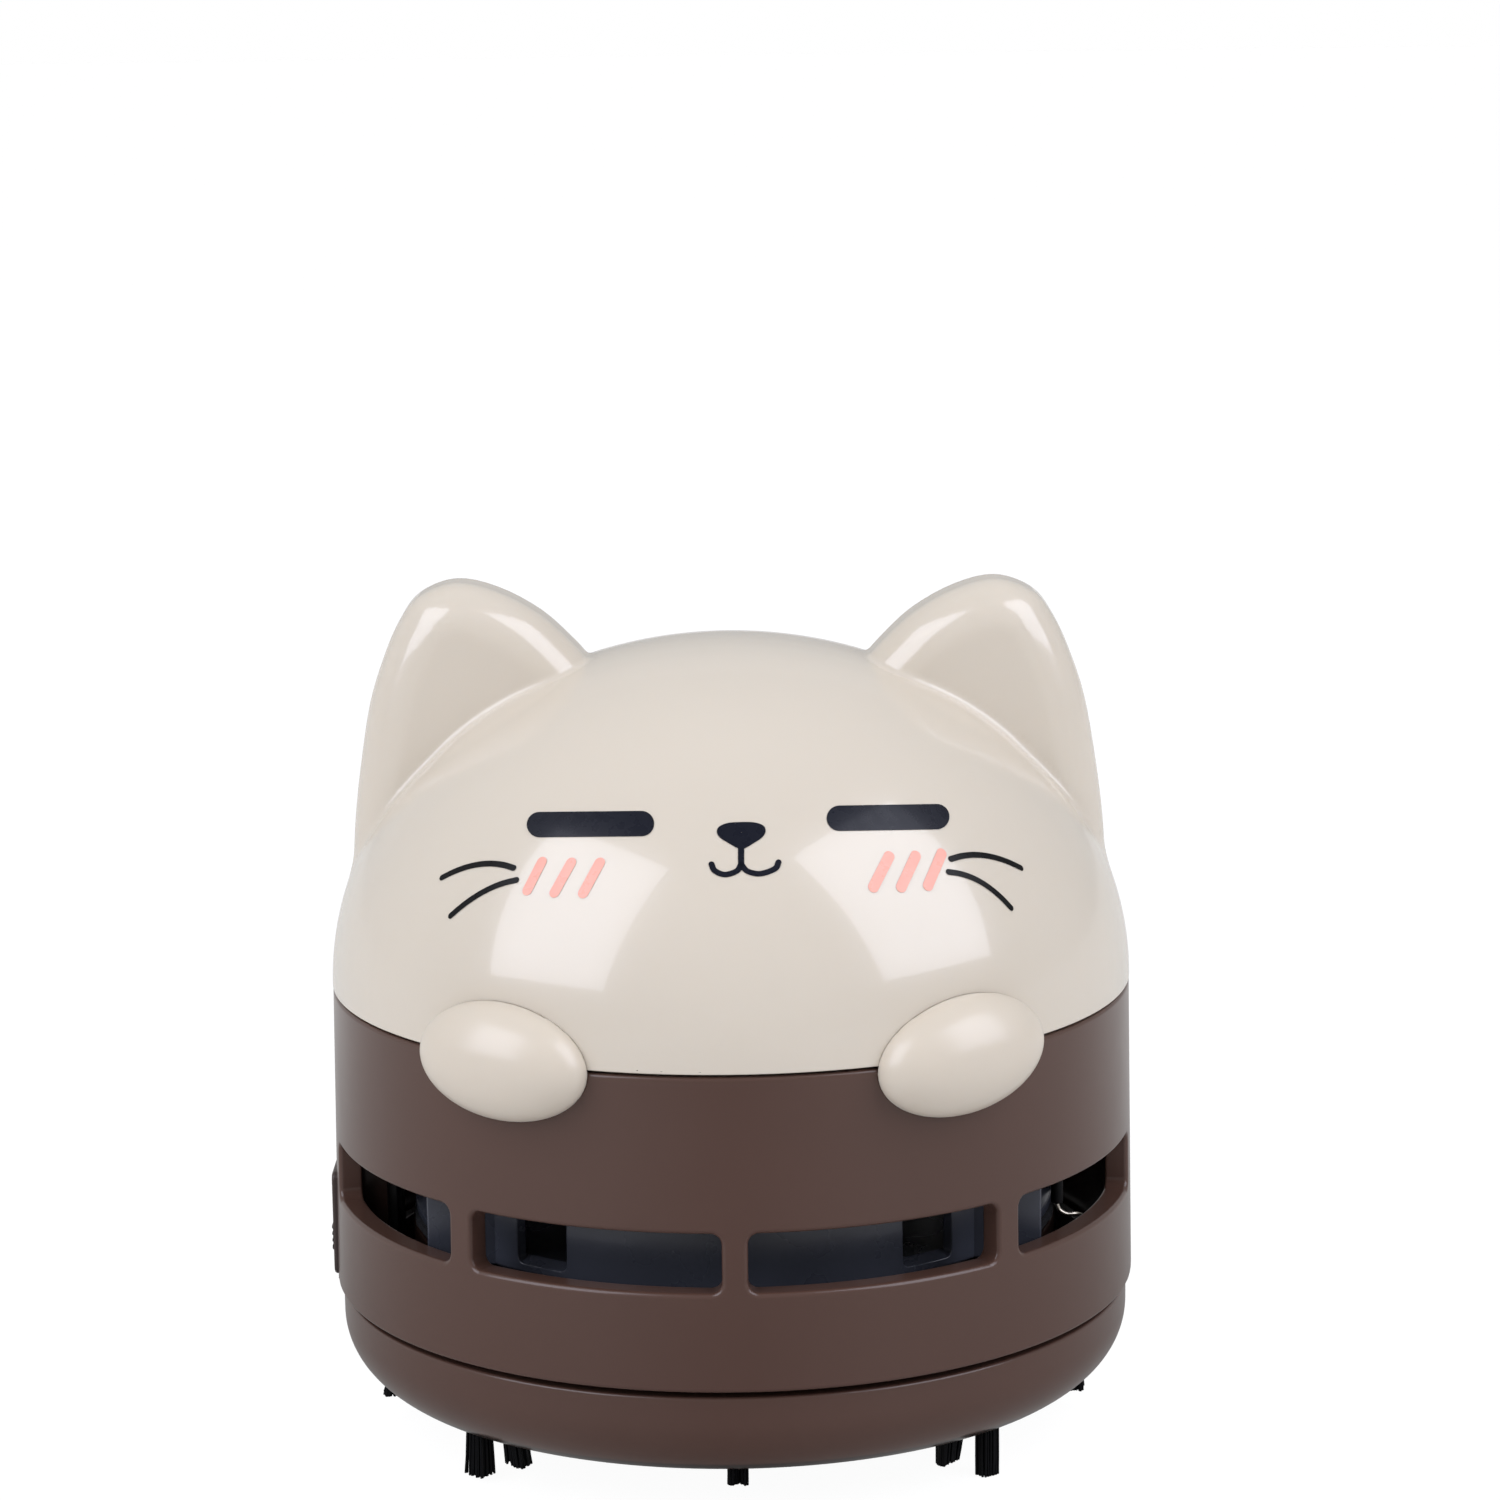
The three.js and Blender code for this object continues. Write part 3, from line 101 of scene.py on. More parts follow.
# Sizes, as in the CAD
WALL = 2.3
FOOT_R, TOP_R, FOOT_Z, TOP_Z = 43.72, 43.3, 15.35, 48.05
BORE = TOP_R - WALL
HEAD_Z = 48.35
DOME_R, DOME_H = 43.35, 36.95
DECK_LOW, DECK_TOP = 35.5, 37.5
POSTS = (0, 120, 240)
POST_CIRCLE = 30.6


def outer_radius(z):
    return FOOT_R + (TOP_R - FOOT_R) * (z - FOOT_Z) / (TOP_Z - FOOT_Z)


# Mesh building
class Shape:
    """Points with their own normals, gathered into one mesh."""

    def __init__(self):
        self.points, self.normals, self.faces, self.known = [], [], [], {}

    def point(self, p, n):
        key = tuple(round(v, 4) for v in p) + tuple(round(v, 2) for v in n)
        if key not in self.known:
            self.known[key] = len(self.points)
            self.points.append(tuple(p))
            self.normals.append(tuple(n))
        return self.known[key]

    def ring(self, spots):
        """The numbers of (point, normal) pairs, closed on the first."""
        row = [self.point(p, n) for p, n in spots]
        return row + [row[0]]

    def face(self, *corners):
        kept = [c for i, c in enumerate(corners) if c != corners[i - 1]]
        if len(set(kept)) >= 3:
            self.faces.append(kept)

    def grid(self, rows):
        """Rows of point numbers, joined row to row."""
        for low, high in zip(rows, rows[1:]):
            for i in range(len(low) - 1):
                self.face(low[i], low[i + 1], high[i + 1], high[i])

    def end(self, row, n):
        """A flat face over a closed row, with a normal of its own."""
        self.face(*(self.point(self.points[i], n) for i in row[:-1]))

    def piece(self, name, material, body, slot, stands_for=None):
        points, normals = np.array(self.points), np.array(self.normals)
        faces = []
        for f in self.faces:
            a, b, c = points[f[0]], points[f[1]], points[f[2]]
            turn = np.cross(b - a, c - b)
            if len(f) == 4:
                turn = turn + np.cross(c - b, points[f[3]] - c)
            facing = sum(normals[i] for i in f)
            faces.append(f[::-1] if turn @ facing < 0 else f)
        mesh = bpy.data.meshes.new(name)
        mesh.from_pydata([tuple(p) for p in points * MM], [], faces)
        mesh.validate()
        mesh.polygons.foreach_set("use_smooth", [True] * len(mesh.polygons))
        mesh.normals_split_custom_set_from_vertices([tuple(n) for n in normals])
        mesh.update()
        return settle(bpy.data.objects.new(name, mesh), material, body, slot, stands_for)


def settle(piece, material, body, slot, stands_for=None):
    """Gives a new object its material and body, and hides the CAD node that it stands for. The slot is not
    used.
    """
    bpy.context.scene.collection.objects.link(piece)
    piece.data.materials.clear()
    piece.data.materials.append(material)
    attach(piece, body)
    if stands_for:
        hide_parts(stands_for)
    return piece


def unit(v):
    v = np.asarray(v, float)
    return v / np.linalg.norm(v)


def quarter(steps):
    """(sine, cosine) at even steps through a right angle."""
    angles = [math.pi / 2 * k / steps for k in range(steps + 1)]
    return [(math.sin(a), math.cos(a)) for a in angles]


def rounded(corners, radius=0.25, closed=True, steps=4):
    """An anticlockwise outline with rounded corners, as [((x, y), (normal x, normal y))].
    A corner may give its own radius as a third number, and -1 marks a point of a smooth curve."""
    out = []
    places = [np.array(corner[:2], float) for corner in corners]
    count = len(places)
    most = 0.45  # the share of a side that a corner may take
    for i, here in enumerate(places):
        r = corners[i][2] if len(corners[i]) > 2 else radius
        before, after = here - places[i - 1], places[(i + 1) % count] - here
        d1, d2 = unit(before), unit(after)
        is_end = not closed and i in (0, count - 1)
        if is_end or r < 0:
            d = (d1 if i else d2) if is_end else unit(d1 + d2)
            out.append((tuple(here), (d[1], -d[0])))
            continue
        turn = math.atan2(d1[0] * d2[1] - d1[1] * d2[0], float(d1 @ d2))
        slant = math.tan(abs(turn) / 2)
        reach = min(r * slant, most * np.linalg.norm(before), most * np.linalg.norm(after))
        r = reach / slant if abs(turn) > 1e-6 else 0
        side = 1 if turn > 0 else -1
        centre = here - d1 * reach + side * r * np.array([-d1[1], d1[0]])
        for k in range(steps + 1):
            c, s = math.cos(turn * k / steps), math.sin(turn * k / steps)
            normal = np.array([d1[0] * s + d1[1] * c, d1[1] * s - d1[0] * c])
            out.append((tuple(centre + side * r * normal), tuple(normal)))
    return out


def facing_in(outline):
    return [(p, (-n[0], -n[1])) for p, n in outline]


def spin(shape, outline, segments, base, lay):
    """An outline of radii and lengths, turned about an axis through the base. lay: makes a vector of
    two amounts round the axis and one along it."""
    rows = []
    for k in range(segments + 1):
        a = 2 * math.pi * (k % segments) / segments
        s, c = math.sin(a), math.cos(a)
        rows.append([
            shape.point(base + lay(r * s, r * c, h), lay(nr * s, nr * c, nh) if r > 1e-6 else lay(0, 0, nh))
            for (r, h), (nr, nh) in outline
        ])
    shape.grid(rows)


def lathe(shape, profile, segments=160, centre=(0, 0), closed=True):
    """A profile from rounded(), turned about a vertical line."""
    outline = list(profile) + ([profile[0]] if closed else [])
    spin(shape, outline, segments, np.array([*centre, 0.0]), lambda s, c, h: np.array([s, -c, h]))


def rod(shape, radius, low, high, centre=(0, 0), edge=0.2, segments=32):
    corners = [(0, low, 0), (radius, low, edge), (radius, high, edge), (0, high, 0)]
    lathe(shape, rounded(corners, closed=False, steps=3), segments, centre, closed=False)


def box(shape, xs, ys, zs, edge=0.25):
    """A block whose edges are narrow chamfers that shade as rounded ones."""
    spans = (sorted(xs), sorted(ys), sorted(zs))
    number = {}

    def corner(axis, end, i, j):
        ends = [i, j]
        ends.insert(axis, end)
        return tuple(ends)

    for axis, end, i, j in product(range(3), (0, 1), (0, 1), (0, 1)):
        ends = corner(axis, end, i, j)
        p = [spans[k][e] + (0 if k == axis else edge * (1 - 2 * e)) for k, e in enumerate(ends)]
        normal = [2 * end - 1 if k == axis else 0 for k in range(3)]
        number[axis, ends] = shape.point(p, normal)
    for axis, end in product(range(3), (0, 1)):
        loop = [corner(axis, end, i, j) for i, j in ((0, 0), (1, 0), (1, 1), (0, 1))]
        shape.face(*(number[axis, ends] for ends in loop))
    for along, i, j in product(range(3), (0, 1), (0, 1)):
        a, b = (k for k in range(3) if k != along)
        low, high = corner(along, 0, i, j), corner(along, 1, i, j)
        shape.face(number[a, low], number[a, high], number[b, high], number[b, low])
    for ends in product((0, 1), repeat=3):
        shape.face(*(number[axis, ends] for axis in range(3)))


def radial(azimuth):
    a = math.radians(azimuth)
    return np.array([math.sin(a), -math.cos(a), 0.0]), np.array([math.cos(a), math.sin(a), 0.0])


def windowed_wall(shape, outer, inner, foot, top, windows, z0, z1, corner, lip, rim, side_rows, notch=None):
    """A round wall with rounded windows. windows: [(centre, half width)] in degrees, all between z0
    and z1. side_rows: heights down a window's straight side. notch: (azimuth, half width, height)
    of an opening that is open at the foot."""
    scale = outer(z0)
    low, high = foot + rim, top - rim
    z_low, z_high = z0 + corner, z1 - corner
    third, back_lip = (1 / 3, 2 / 3), 0.3
    arc = 6  # steps round a window's corner
    plain_step, clearance = 2.5, 0.8  # degrees between plain columns, and from them to the notch
    rows_z = [high, *(high + (z_high - high) * t for t in third), *side_rows,
              *(z_low + (low - z_low) * t for t in third), low]
    columns = set()

    def put(azimuth, z, radius, outwards, across=0.0, upwards=0.0):
        e_r, e_a = radial(azimuth)
        n = unit(e_r * outwards + e_a * across + [0, 0, upwards])
        return shape.point(e_r * radius + [0, 0, z], n)

    def in_notch(a, b):
        return notch and abs((a + b) / 2 - notch[0]) < notch[1]

    def plain_cell(left, right):
        """The wall between two windows that are far apart."""
        steps = max(2, round((right - left) / plain_step))
        azimuths = [left + (right - left) * k / steps for k in range(steps + 1)]
        if notch and left < notch[0] < right:
            edges = [notch[0] - notch[1], notch[0] + notch[1]]
            clear = [a for a in azimuths if all(abs(a - edge) > clearance for edge in edges)]
            azimuths = sorted(clear + edges)
        for radius_of, facing in ((outer, 1), (lambda z: inner, -1)):
            grid = [[put(a, z, radius_of(z), facing) for a in azimuths] for z in rows_z]
            for z, upper, lower in zip(rows_z, grid, grid[1:]):
                for m, (a, b) in enumerate(zip(azimuths, azimuths[1:])):
                    if not (in_notch(a, b) and z <= notch[2] + 1e-6):
                        shape.face(upper[m], upper[m + 1], lower[m + 1], lower[m])
        columns.update(round(a, 6) for a in azimuths)

    def window_cell(left, right, c, h):
        """One window and the wall round it, out to the cell's border."""
        half = math.radians(h) * scale
        reach = half - corner
        s_left, s_right = math.radians(left - c) * scale, math.radians(right - c) * scale
        steps = max(3, round(math.degrees(reach / scale)))
        loop = []  # (s centre, z centre, normal s, normal z, radius, target s, target z)

        def edge(z, upwards, target_z):
            for k in range(steps + 1):
                s = upwards * (2 * reach * k / steps - reach)
                loop.append((s, z, 0, upwards, 0, s, target_z))

        def side(rows, across, target_s):
            loop.extend((across * half, z, across, 0, 0, target_s, z) for z in rows)

        def bend(s, z, angle, start, end, s_first):
            """Round a corner. The target runs along one side of the border's corner, then the other."""
            for k in range(1, arc):
                t = k / arc
                a = angle - math.pi / 2 * t
                early, late = min(1, 2 * t), max(0, 2 * t - 1)
                for_s, for_z = (early, late) if s_first else (late, early)
                target = (start[0] + (end[0] - start[0]) * for_s, start[1] + (end[1] - start[1]) * for_z)
                loop.append((s, z, math.cos(a), math.sin(a), corner, *target))

        edge(z1, 1, high)
        bend(reach, z_high, math.pi / 2, (reach, high), (s_right, z_high), True)
        side(side_rows, 1, s_right)
        bend(reach, z_low, 0, (s_right, z_low), (reach, low), False)
        edge(z0, -1, low)
        bend(-reach, z_low, -math.pi / 2, (-reach, low), (s_left, z_low), True)
        side(side_rows[::-1], -1, s_left)
        bend(-reach, z_high, math.pi, (s_left, z_high), (-reach, high), False)
        for *_, s, z in loop:
            if min(abs(z - high), abs(z - low)) < 1e-6:
                columns.add(round(c + math.degrees(s / scale), 6))

        def ring(offset, share, radius_of, outwards, inwards):
            """Points round the window: share 0 is the cell's border, 1 the loop at this offset."""
            out = []
            for sc, zc, ns, nz, r, ts, tz in loop:
                azimuth = c + math.degrees((ts + (sc + ns * (r + offset) - ts) * share) / scale)
                z = tz + (zc + nz * (r + offset) - tz) * share
                out.append(put(azimuth, z, radius_of(z), outwards, -ns * inwards, -nz * inwards))
            return out + [out[0]]

        rows = [ring(lip, k / 4, outer, 1, 0) for k in range(5)]
        for sine, cosine in quarter(6)[1:]:
            depth = lip * (1 - cosine)
            rows.append(ring(lip * (1 - sine), 1, lambda z: outer(z) - depth, cosine, sine))
        for sine, cosine in quarter(3)[::-1]:
            depth = back_lip * (1 - cosine)
            rows.append(ring(back_lip * (1 - sine), 1, lambda z: inner + depth, -cosine, sine))
        rows += [ring(back_lip, k / 3, lambda z: inner, -1, 0) for k in (2, 1, 0)]
        shape.grid(rows)

    spans = sorted((c - h, c + h, c, h) for c, h in windows)
    bars = [following[0] - span[1] for span, following in zip(spans, spans[1:])]
    bars.append(spans[0][0] + 360 - spans[-1][1])
    wide = 1.5 * min(bars)
    margins = [bar / 2 if bar < wide else min(bars) / 2 for bar in bars]
    for i, (start, end, c, h) in enumerate(spans):
        window_cell(start - margins[i - 1], end + margins[i], c, h)
        if bars[i] > wide:
            plain_cell(end + margins[i], end + bars[i] - margins[i])
    ordered = sorted(columns)
    ordered.append(ordered[0] + 360)
    for z_edge, upwards in ((top, 1), (foot, -1)):
        profile = []
        for radius, side in ((outer(z_edge), 1), (inner, -1)):
            for sine, cosine in quarter(4)[::side]:
                r, z = radius - side * rim * (1 - cosine), z_edge - upwards * rim * (1 - sine)
                profile.append((r, z, side * cosine, upwards * sine))
        profile[0] = (outer(z_edge - upwards * rim), *profile[0][1:])
        for a, b in zip(ordered, ordered[1:]):
            if not (upwards < 0 and in_notch(a, b)):
                shape.grid([[put(v, z, r, nr, 0, nz) for r, z, nr, nz in profile] for v in (a, b)])
    if notch:
        centre, half_width, height = notch
        for side in (-1, 1):
            a = centre + side * half_width
            shape.grid([[put(a, z, r, 0, -side) for r in (outer(z), inner)] for z in (low - rim, height)])
        inside = [a for a in ordered if abs(a - centre) <= half_width + 1e-6]
        shape.grid([[put(a, height, r, 0, 0, -1) for a in inside] for r in (outer(height), inner)])


def spline(p0, p1, p2, p3, t):
    """A point of the smooth curve through p1 and p2, at the share t of the way between them."""
    square = 2 * p0 - 5 * p1 + 4 * p2 - p3
    cube = 3 * p1 - p0 - 3 * p2 + p3
    return 0.5 * (2 * p1 + (p2 - p0) * t + square * t**2 + cube * t**3)


def smooth_path(points, steps):
    """Points along a smooth curve through the given ones."""
    pts = [np.array(p, float) for p in points]
    pts = [2 * pts[0] - pts[1]] + pts + [2 * pts[-1] - pts[-2]]
    out = [spline(*pts[i - 1 : i + 3], k / steps) for i in range(1, len(pts) - 2) for k in range(steps)]
    return out + [pts[-2]]


def tube(shape, path, radius, sides=12):
    """A round tube along a path, with slightly domed ends."""
    dome = 0.35 * radius
    path = [np.array(p, float) for p in path]
    up = np.array([0.3, 0.2, 1.0])
    rows = []
    last = len(path) - 1
    for i, p in enumerate(path):
        d = unit(path[min(i + 1, last)] - path[max(i - 1, 0)])
        a = unit(np.cross(d, up))
        up = np.cross(a, d)
        b = np.cross(d, a)
        angles = [2 * math.pi * k / sides for k in range(sides)]
        around = [a * math.cos(w) + b * math.sin(w) for w in angles]
        row = shape.ring([(p + n * radius, n) for n in around])
        rows.append(row)
        if i in (0, last):
            n = d if i else -d
            middle = shape.point(p + n * dome, n)
            for k in range(sides):
                shape.face(row[k], row[k + 1], middle)
    shape.grid(rows)


# Materials
def linear(hex_colour):
    out = []
    for i in (0, 2, 4):
        v = int(hex_colour[i : i + 2], 16) / 255
        out.append(v / 12.92 if v <= 0.04045 else ((v + 0.055) / 1.055) ** 2.4)
    return out


class Nodes:
    """The nodes of a material or a world. A node's inputs are given by name or number, each as a
    value or as the output that is joined to it."""

    def __init__(self, owner):
        owner.use_nodes = True
        self.tree = owner.node_tree

    def add(self, kind, inputs=(), operation=None):
        node = self.tree.nodes.new(f"ShaderNode{kind}")
        if operation:
            node.operation = operation
        self.feed(node, inputs)
        return node

    def feed(self, node, inputs):
        for key, value in dict(inputs).items():
            if isinstance(value, bpy.types.NodeSocket):
                self.tree.links.new(value, node.inputs[key])
            else:
                node.inputs[key].default_value = value


def painted_shade_inside(nodes, place, colour, radius, height, share):
    """The colour, darkened to a share of it inside the radius and below the height, as painted shade."""
    flat = nodes.add("VectorMath", {0: place, 1: (1, 1, 0)}, "MULTIPLY")
    length = nodes.add("VectorMath", {0: flat.outputs["Vector"]}, "LENGTH")
    split = nodes.add("SeparateXYZ", {"Vector": place})
    shares = []
    below, above = 0.3, 0.1  # how far the shade fades on either side of an edge
    for value, edge in ((length.outputs["Value"], radius), (split.outputs["Z"], height)):
        limits = {"From Min": (edge - below) * MM, "From Max": (edge + above) * MM, "To Min": share}
        shares.append(nodes.add("MapRange", {"Value": value, **limits}).outputs["Result"])
    deeper = nodes.add("Math", {0: shares[0], 1: shares[1]}, "MAXIMUM")
    return nodes.add("VectorMath", {0: colour, "Scale": deeper.outputs["Value"]}, "SCALE").outputs["Vector"]


def material(name, colour, roughness, mottle, spread, grain, metallic=0.0, coat=0.0, coat_roughness=0.05,
             level=0.5, wave=None, subsurface=0.0, inside=None):
    """A node material: colour mottled by a slow noise, roughness varied by a finer one, and a bump of
    grain. mottle, spread: (scale per metre, amount). grain: (scale, strength, depth in mm).
    wave: (scale, strength, direction) adds a bump of drawn or woven lines.
    inside: (radius, height, share) darkens the colour inside a shell, below the height, as painted shade."""
    made = bpy.data.materials.new(name)
    nodes = Nodes(made)
    place = nodes.add("TexCoord").outputs["Object"]

    def noise(scale, detail):
        return nodes.add("TexNoise", {"Scale": scale, "Detail": detail, "Vector": place}).outputs["Fac"]

    ramp = nodes.add("ValToRGB", {"Fac": noise(mottle[0], 3.0)})
    ramp.color_ramp.interpolation = "EASE"
    for element, position, side in zip(ramp.color_ramp.elements, (0.2, 0.8), (-1, 1)):
        element.position = position
        element.color = [min(1, max(0, c * (1 + side * mottle[1]))) for c in linear(colour)] + [1]
    base_colour = ramp.outputs["Color"]
    # Painted shade: the colour is darkened inside a shell and below a height
    if inside:
        base_colour = painted_shade_inside(nodes, place, base_colour, *inside)
    rough = nodes.add("MapRange", {
        "Value": noise(spread[0], 4.0), "From Min": 0.2, "From Max": 0.8,
        "To Min": max(0.02, roughness - spread[1]), "To Max": roughness + spread[1],
    })
    rough.interpolation_type = "SMOOTHERSTEP"
    bump = nodes.add("Bump", {
        "Strength": grain[1], "Distance": grain[2] * MM, "Height": noise(grain[0], 2.0),
    })
    if wave:
        lines = nodes.add("TexWave", {"Scale": wave[0], "Distortion": 0.4, "Vector": place})
        lines.bands_direction = wave[2]
        bump = nodes.add("Bump", {
            "Strength": wave[1], "Distance": 0.05 * MM, "Height": lines.outputs["Fac"],
            "Normal": bump.outputs["Normal"],
        })
    shader = nodes.tree.nodes["Principled BSDF"]
    nodes.feed(shader, {
        "Base Color": base_colour, "Roughness": rough.outputs["Result"], "Normal": bump.outputs["Normal"],
        "Metallic": metallic, "Specular IOR Level": level, "Coat Weight": coat,
        "Coat Roughness": coat_roughness,
    })
    if subsurface:
        nodes.feed(shader, {
            "Subsurface Weight": subsurface, "Subsurface Radius": (0.0012, 0.0010, 0.0008),
            "Subsurface Scale": 1.0,
        })
    return made


INK_SPREAD, INK_GRAIN = (800, 0.05), (2500, 0.06, 0.01)
WIRE_SPREAD, WIRE_GRAIN = (500, 0.05), (1800, 0.15, 0.03)
SLEEVE_SPREAD, SLEEVE_GRAIN = (300, 0.04), (900, 0.08, 0.03)
# Painted shade inside the barrel and the fan drum: the height where it stops, and the share of the colour
# it keeps
PAINTED_SHADE_TOP, PAINTED_SHADE_SHARE = 35.4, 0.3

cream = material("cream_gloss", "D7CDBC", 0.22, (25, 0.012), (90, 0.02), (500, 0.03, 0.05),
                 coat=0.6, subsurface=0.15)
cream_paw = material("cream_paw", "D7CCBA", 0.34, (60, 0.012), (120, 0.02), (600, 0.03, 0.05),
                     coat=0.3, coat_roughness=0.2, subsurface=0.15)
# The barrel's brown gets painted shade inside it, below the deck
brown = material("brown_satin", "533C33", 0.3, (45, 0.03), (120, 0.02), (2600, 0.05, 0.02),
                 coat=0.35, coat_roughness=0.12, level=0.3, inside=(41.0, PAINTED_SHADE_TOP, PAINTED_SHADE_SHARE))
dark_brown = material("dark_brown", "3B2E2A", 0.4, (90, 0.05), (400, 0.04), (3200, 0.12, 0.03))
# The drum's colour gets painted shade inside it, below the deck
drum = material("blue_black_gloss", "454852", 0.28, (70, 0.06), (150, 0.02), (2200, 0.02, 0.02),
                coat=0.3, coat_roughness=0.12, inside=(33.4, PAINTED_SHADE_TOP, PAINTED_SHADE_SHARE))
black = material("black_plastic", "18181A", 0.42, (90, 0.1), (400, 0.05), (2600, 0.15, 0.03))
nylon = material("nylon_strand", "09090C", 0.55, (900, 0.25), (900, 0.08), (5000, 0.1, 0.01), level=0.15)
print_ink = material("print_ink", "10131F", 0.28, (150, 0.05), INK_SPREAD, INK_GRAIN,
                     coat=0.1, coat_roughness=0.1, level=0.2)
whisker_ink = material("whisker_ink", "050507", 0.3, (150, 0.1), INK_SPREAD, INK_GRAIN, level=0.2)
blush_ink = material("blush_ink", "EEA08C", 0.3, (700, 0.03), INK_SPREAD, INK_GRAIN, coat=0.3)
steel = material("plated_steel", "BFC2C6", 0.28, (200, 0.05), (500, 0.07), (2500, 0.1, 0.02), 1.0)
can_steel = material("can_steel", "C4C6C8", 0.32, (120, 0.06), (300, 0.08), (900, 0.1, 0.03), 1.0,
                     wave=(300, 0.15, "Z"))
nickel = material("nickel_plate", "CFCBC0", 0.25, (260, 0.05), (500, 0.08), (1800, 0.1, 0.02), 1.0)
tinned = material("tinned_wire", "B9B2A6", 0.3, (900, 0.06), (900, 0.08), (2600, 0.25, 0.04), 1.0)
ferrite = material("ferrite", "39393B", 0.75, (500, 0.2), (500, 0.08), (2400, 0.35, 0.06))
windings = material("copper_windings", "9A5B33", 0.38, (700, 0.15), (700, 0.08), (2500, 0.2, 0.04), 0.8,
                    wave=(420, 0.6, "Z"))
foam = material("seal_foam", "2B2B2D", 0.95, (900, 0.25), (700, 0.05), (1500, 0.7, 0.2))
net = material("filter_net", "DCDDDA", 0.9, (300, 0.05), (500, 0.05), (1500, 0.3, 0.05),
               wave=(330, 0.9, "X"))
sleeve = material("cell_sleeve", "2E6486", 0.3, (120, 0.05), SLEEVE_SPREAD, SLEEVE_GRAIN, coat=0.4)
sleeve_band = material("cell_band", "D8D4C6", 0.3, (120, 0.03), SLEEVE_SPREAD, SLEEVE_GRAIN, coat=0.4)
red_wire = material("red_wire", "9E2A24", 0.4, (500, 0.06), WIRE_SPREAD, WIRE_GRAIN)
black_wire = material("black_wire", "0B0B0D", 0.5, (500, 0.12), WIRE_SPREAD, WIRE_GRAIN, level=0.15)


# Head
EAR_SHARES = [
    (0, 0.72), (0.06, 0.78), (0.2, 0.888), (0.38, 0.97), (0.55, 1), (0.7, 0.955), (0.785, 0.865),
    (0.85, 0.745), (0.91, 0.59), (0.955, 0.38), (0.985, 0.185), (1, 0),
]
EAR_X, EAR_Z, EAR_W, EAR_H = 14.8, 60.0, 26.1, 31.5
EAR_MID, EAR_CORE, EAR_RIM = 1.5, 3.0, 5.0
EAR_FOOT = ((EAR_X + EAR_W - EAR_RIM - WALL, 58.0), (8.0, 58.0))
RIGHT_EAR_DROP = 0.3
SKIRT, VOXEL = 4, 0.48  # how far the rough head reaches below the rim, and the size of its faces
FILLET = 0.7
WEB_HEIGHT, WEB_REACH, WEB_X, WEB_HALF, WEB_BLEND = 0.4, 5.0, 24.8, 7.3, 0.08


def ear_outline():
    """The ear's outline moved in by the rim's radius, anticlockwise seen from the back."""
    rim = smooth_path([(EAR_X + a * EAR_W, 0, EAR_Z + b * EAR_H) for a, b in EAR_SHARES], 4)
    out = []
    for i, p in enumerate(rim):
        d = unit(rim[min(i + 1, len(rim) - 1)] - rim[max(i - 1, 0)])
        out.append((p[0] + d[2] * EAR_RIM, p[2] - d[0] * EAR_RIM))
    return [*out, *EAR_FOOT]


EAR_POLYGON = np.array(ear_outline())


def dome_distance(p):
    up = np.maximum(p[:, 2] - HEAD_Z, 0)
    k0 = np.sqrt((p[:, 0] ** 2 + p[:, 1] ** 2) / DOME_R**2 + up**2 / DOME_H**2)
    k1 = np.sqrt((p[:, 0] ** 2 + p[:, 1] ** 2) / DOME_R**4 + up**2 / DOME_H**4)
    return k0 * (k0 - 1) / np.maximum(k1, 1e-9)


def ear_distance(p):
    x, z = np.abs(p[:, 0]), p[:, 2] + np.where(p[:, 0] > 0, RIGHT_EAR_DROP, 0)
    nearest = np.full(len(p), 1e9)
    inside = np.zeros(len(p), bool)
    count = len(EAR_POLYGON)
    for i in range(count):
        (ax, az), (bx, bz) = EAR_POLYGON[i], EAR_POLYGON[(i + 1) % count]
        ex, ez = bx - ax, bz - az
        t = np.clip(((x - ax) * ex + (z - az) * ez) / (ex * ex + ez * ez), 0, 1)
        nearest = np.minimum(nearest, np.hypot(x - ax - t * ex, z - az - t * ez))
        crosses = (az > z) != (bz > z)
        with np.errstate(divide="ignore", invalid="ignore"):
            inside ^= crosses & (x < ax + (z - az) / (ez if ez else 1e-12) * ex)
    flat = np.where(inside, -nearest, nearest)
    thick = np.abs(p[:, 1] - EAR_MID) - EAR_CORE / 2
    outside = np.hypot(np.maximum(flat, 0), np.maximum(thick, 0))
    return outside + np.minimum(np.maximum(flat, thick), 0) - EAR_RIM


def blend(a, b, width):
    h = np.maximum(width - np.abs(a - b), 0) / width
    return np.minimum(a, b) - h * h * width / 4


def head_distance(p):
    """Dome and ears with a fillet between them, and a thin web in front of each ear's foot."""
    dome, ear = dome_distance(p), ear_distance(p)
    share = np.clip(1 - ((np.abs(p[:, 0]) - WEB_X) / WEB_HALF) ** 2, 1e-4, 1)
    high, length = WEB_HEIGHT * share, WEB_REACH * np.sqrt(share)
    foot = (dome / high + ear / length - 1) / np.sqrt(1 / high**2 + 1 / length**2)
    foot = np.where(p[:, 1] < EAR_MID, foot, 1e3)
    return blend(blend(dome, foot, WEB_BLEND * share), ear, FILLET)


def slope(f, p, step=0.02):
    g = np.zeros_like(p)
    for k in range(3):
        d = np.zeros(3)
        d[k] = step
        g[:, k] = (f(p + d) - f(p - d)) / (2 * step)
    return g


def onto(f, p, lift=0.0, rounds=4):
    for _ in range(rounds):
        g = slope(f, p)
        p = p - g * ((f(p) - lift) / np.maximum((g * g).sum(1), 0.05))[:, None]
    return p


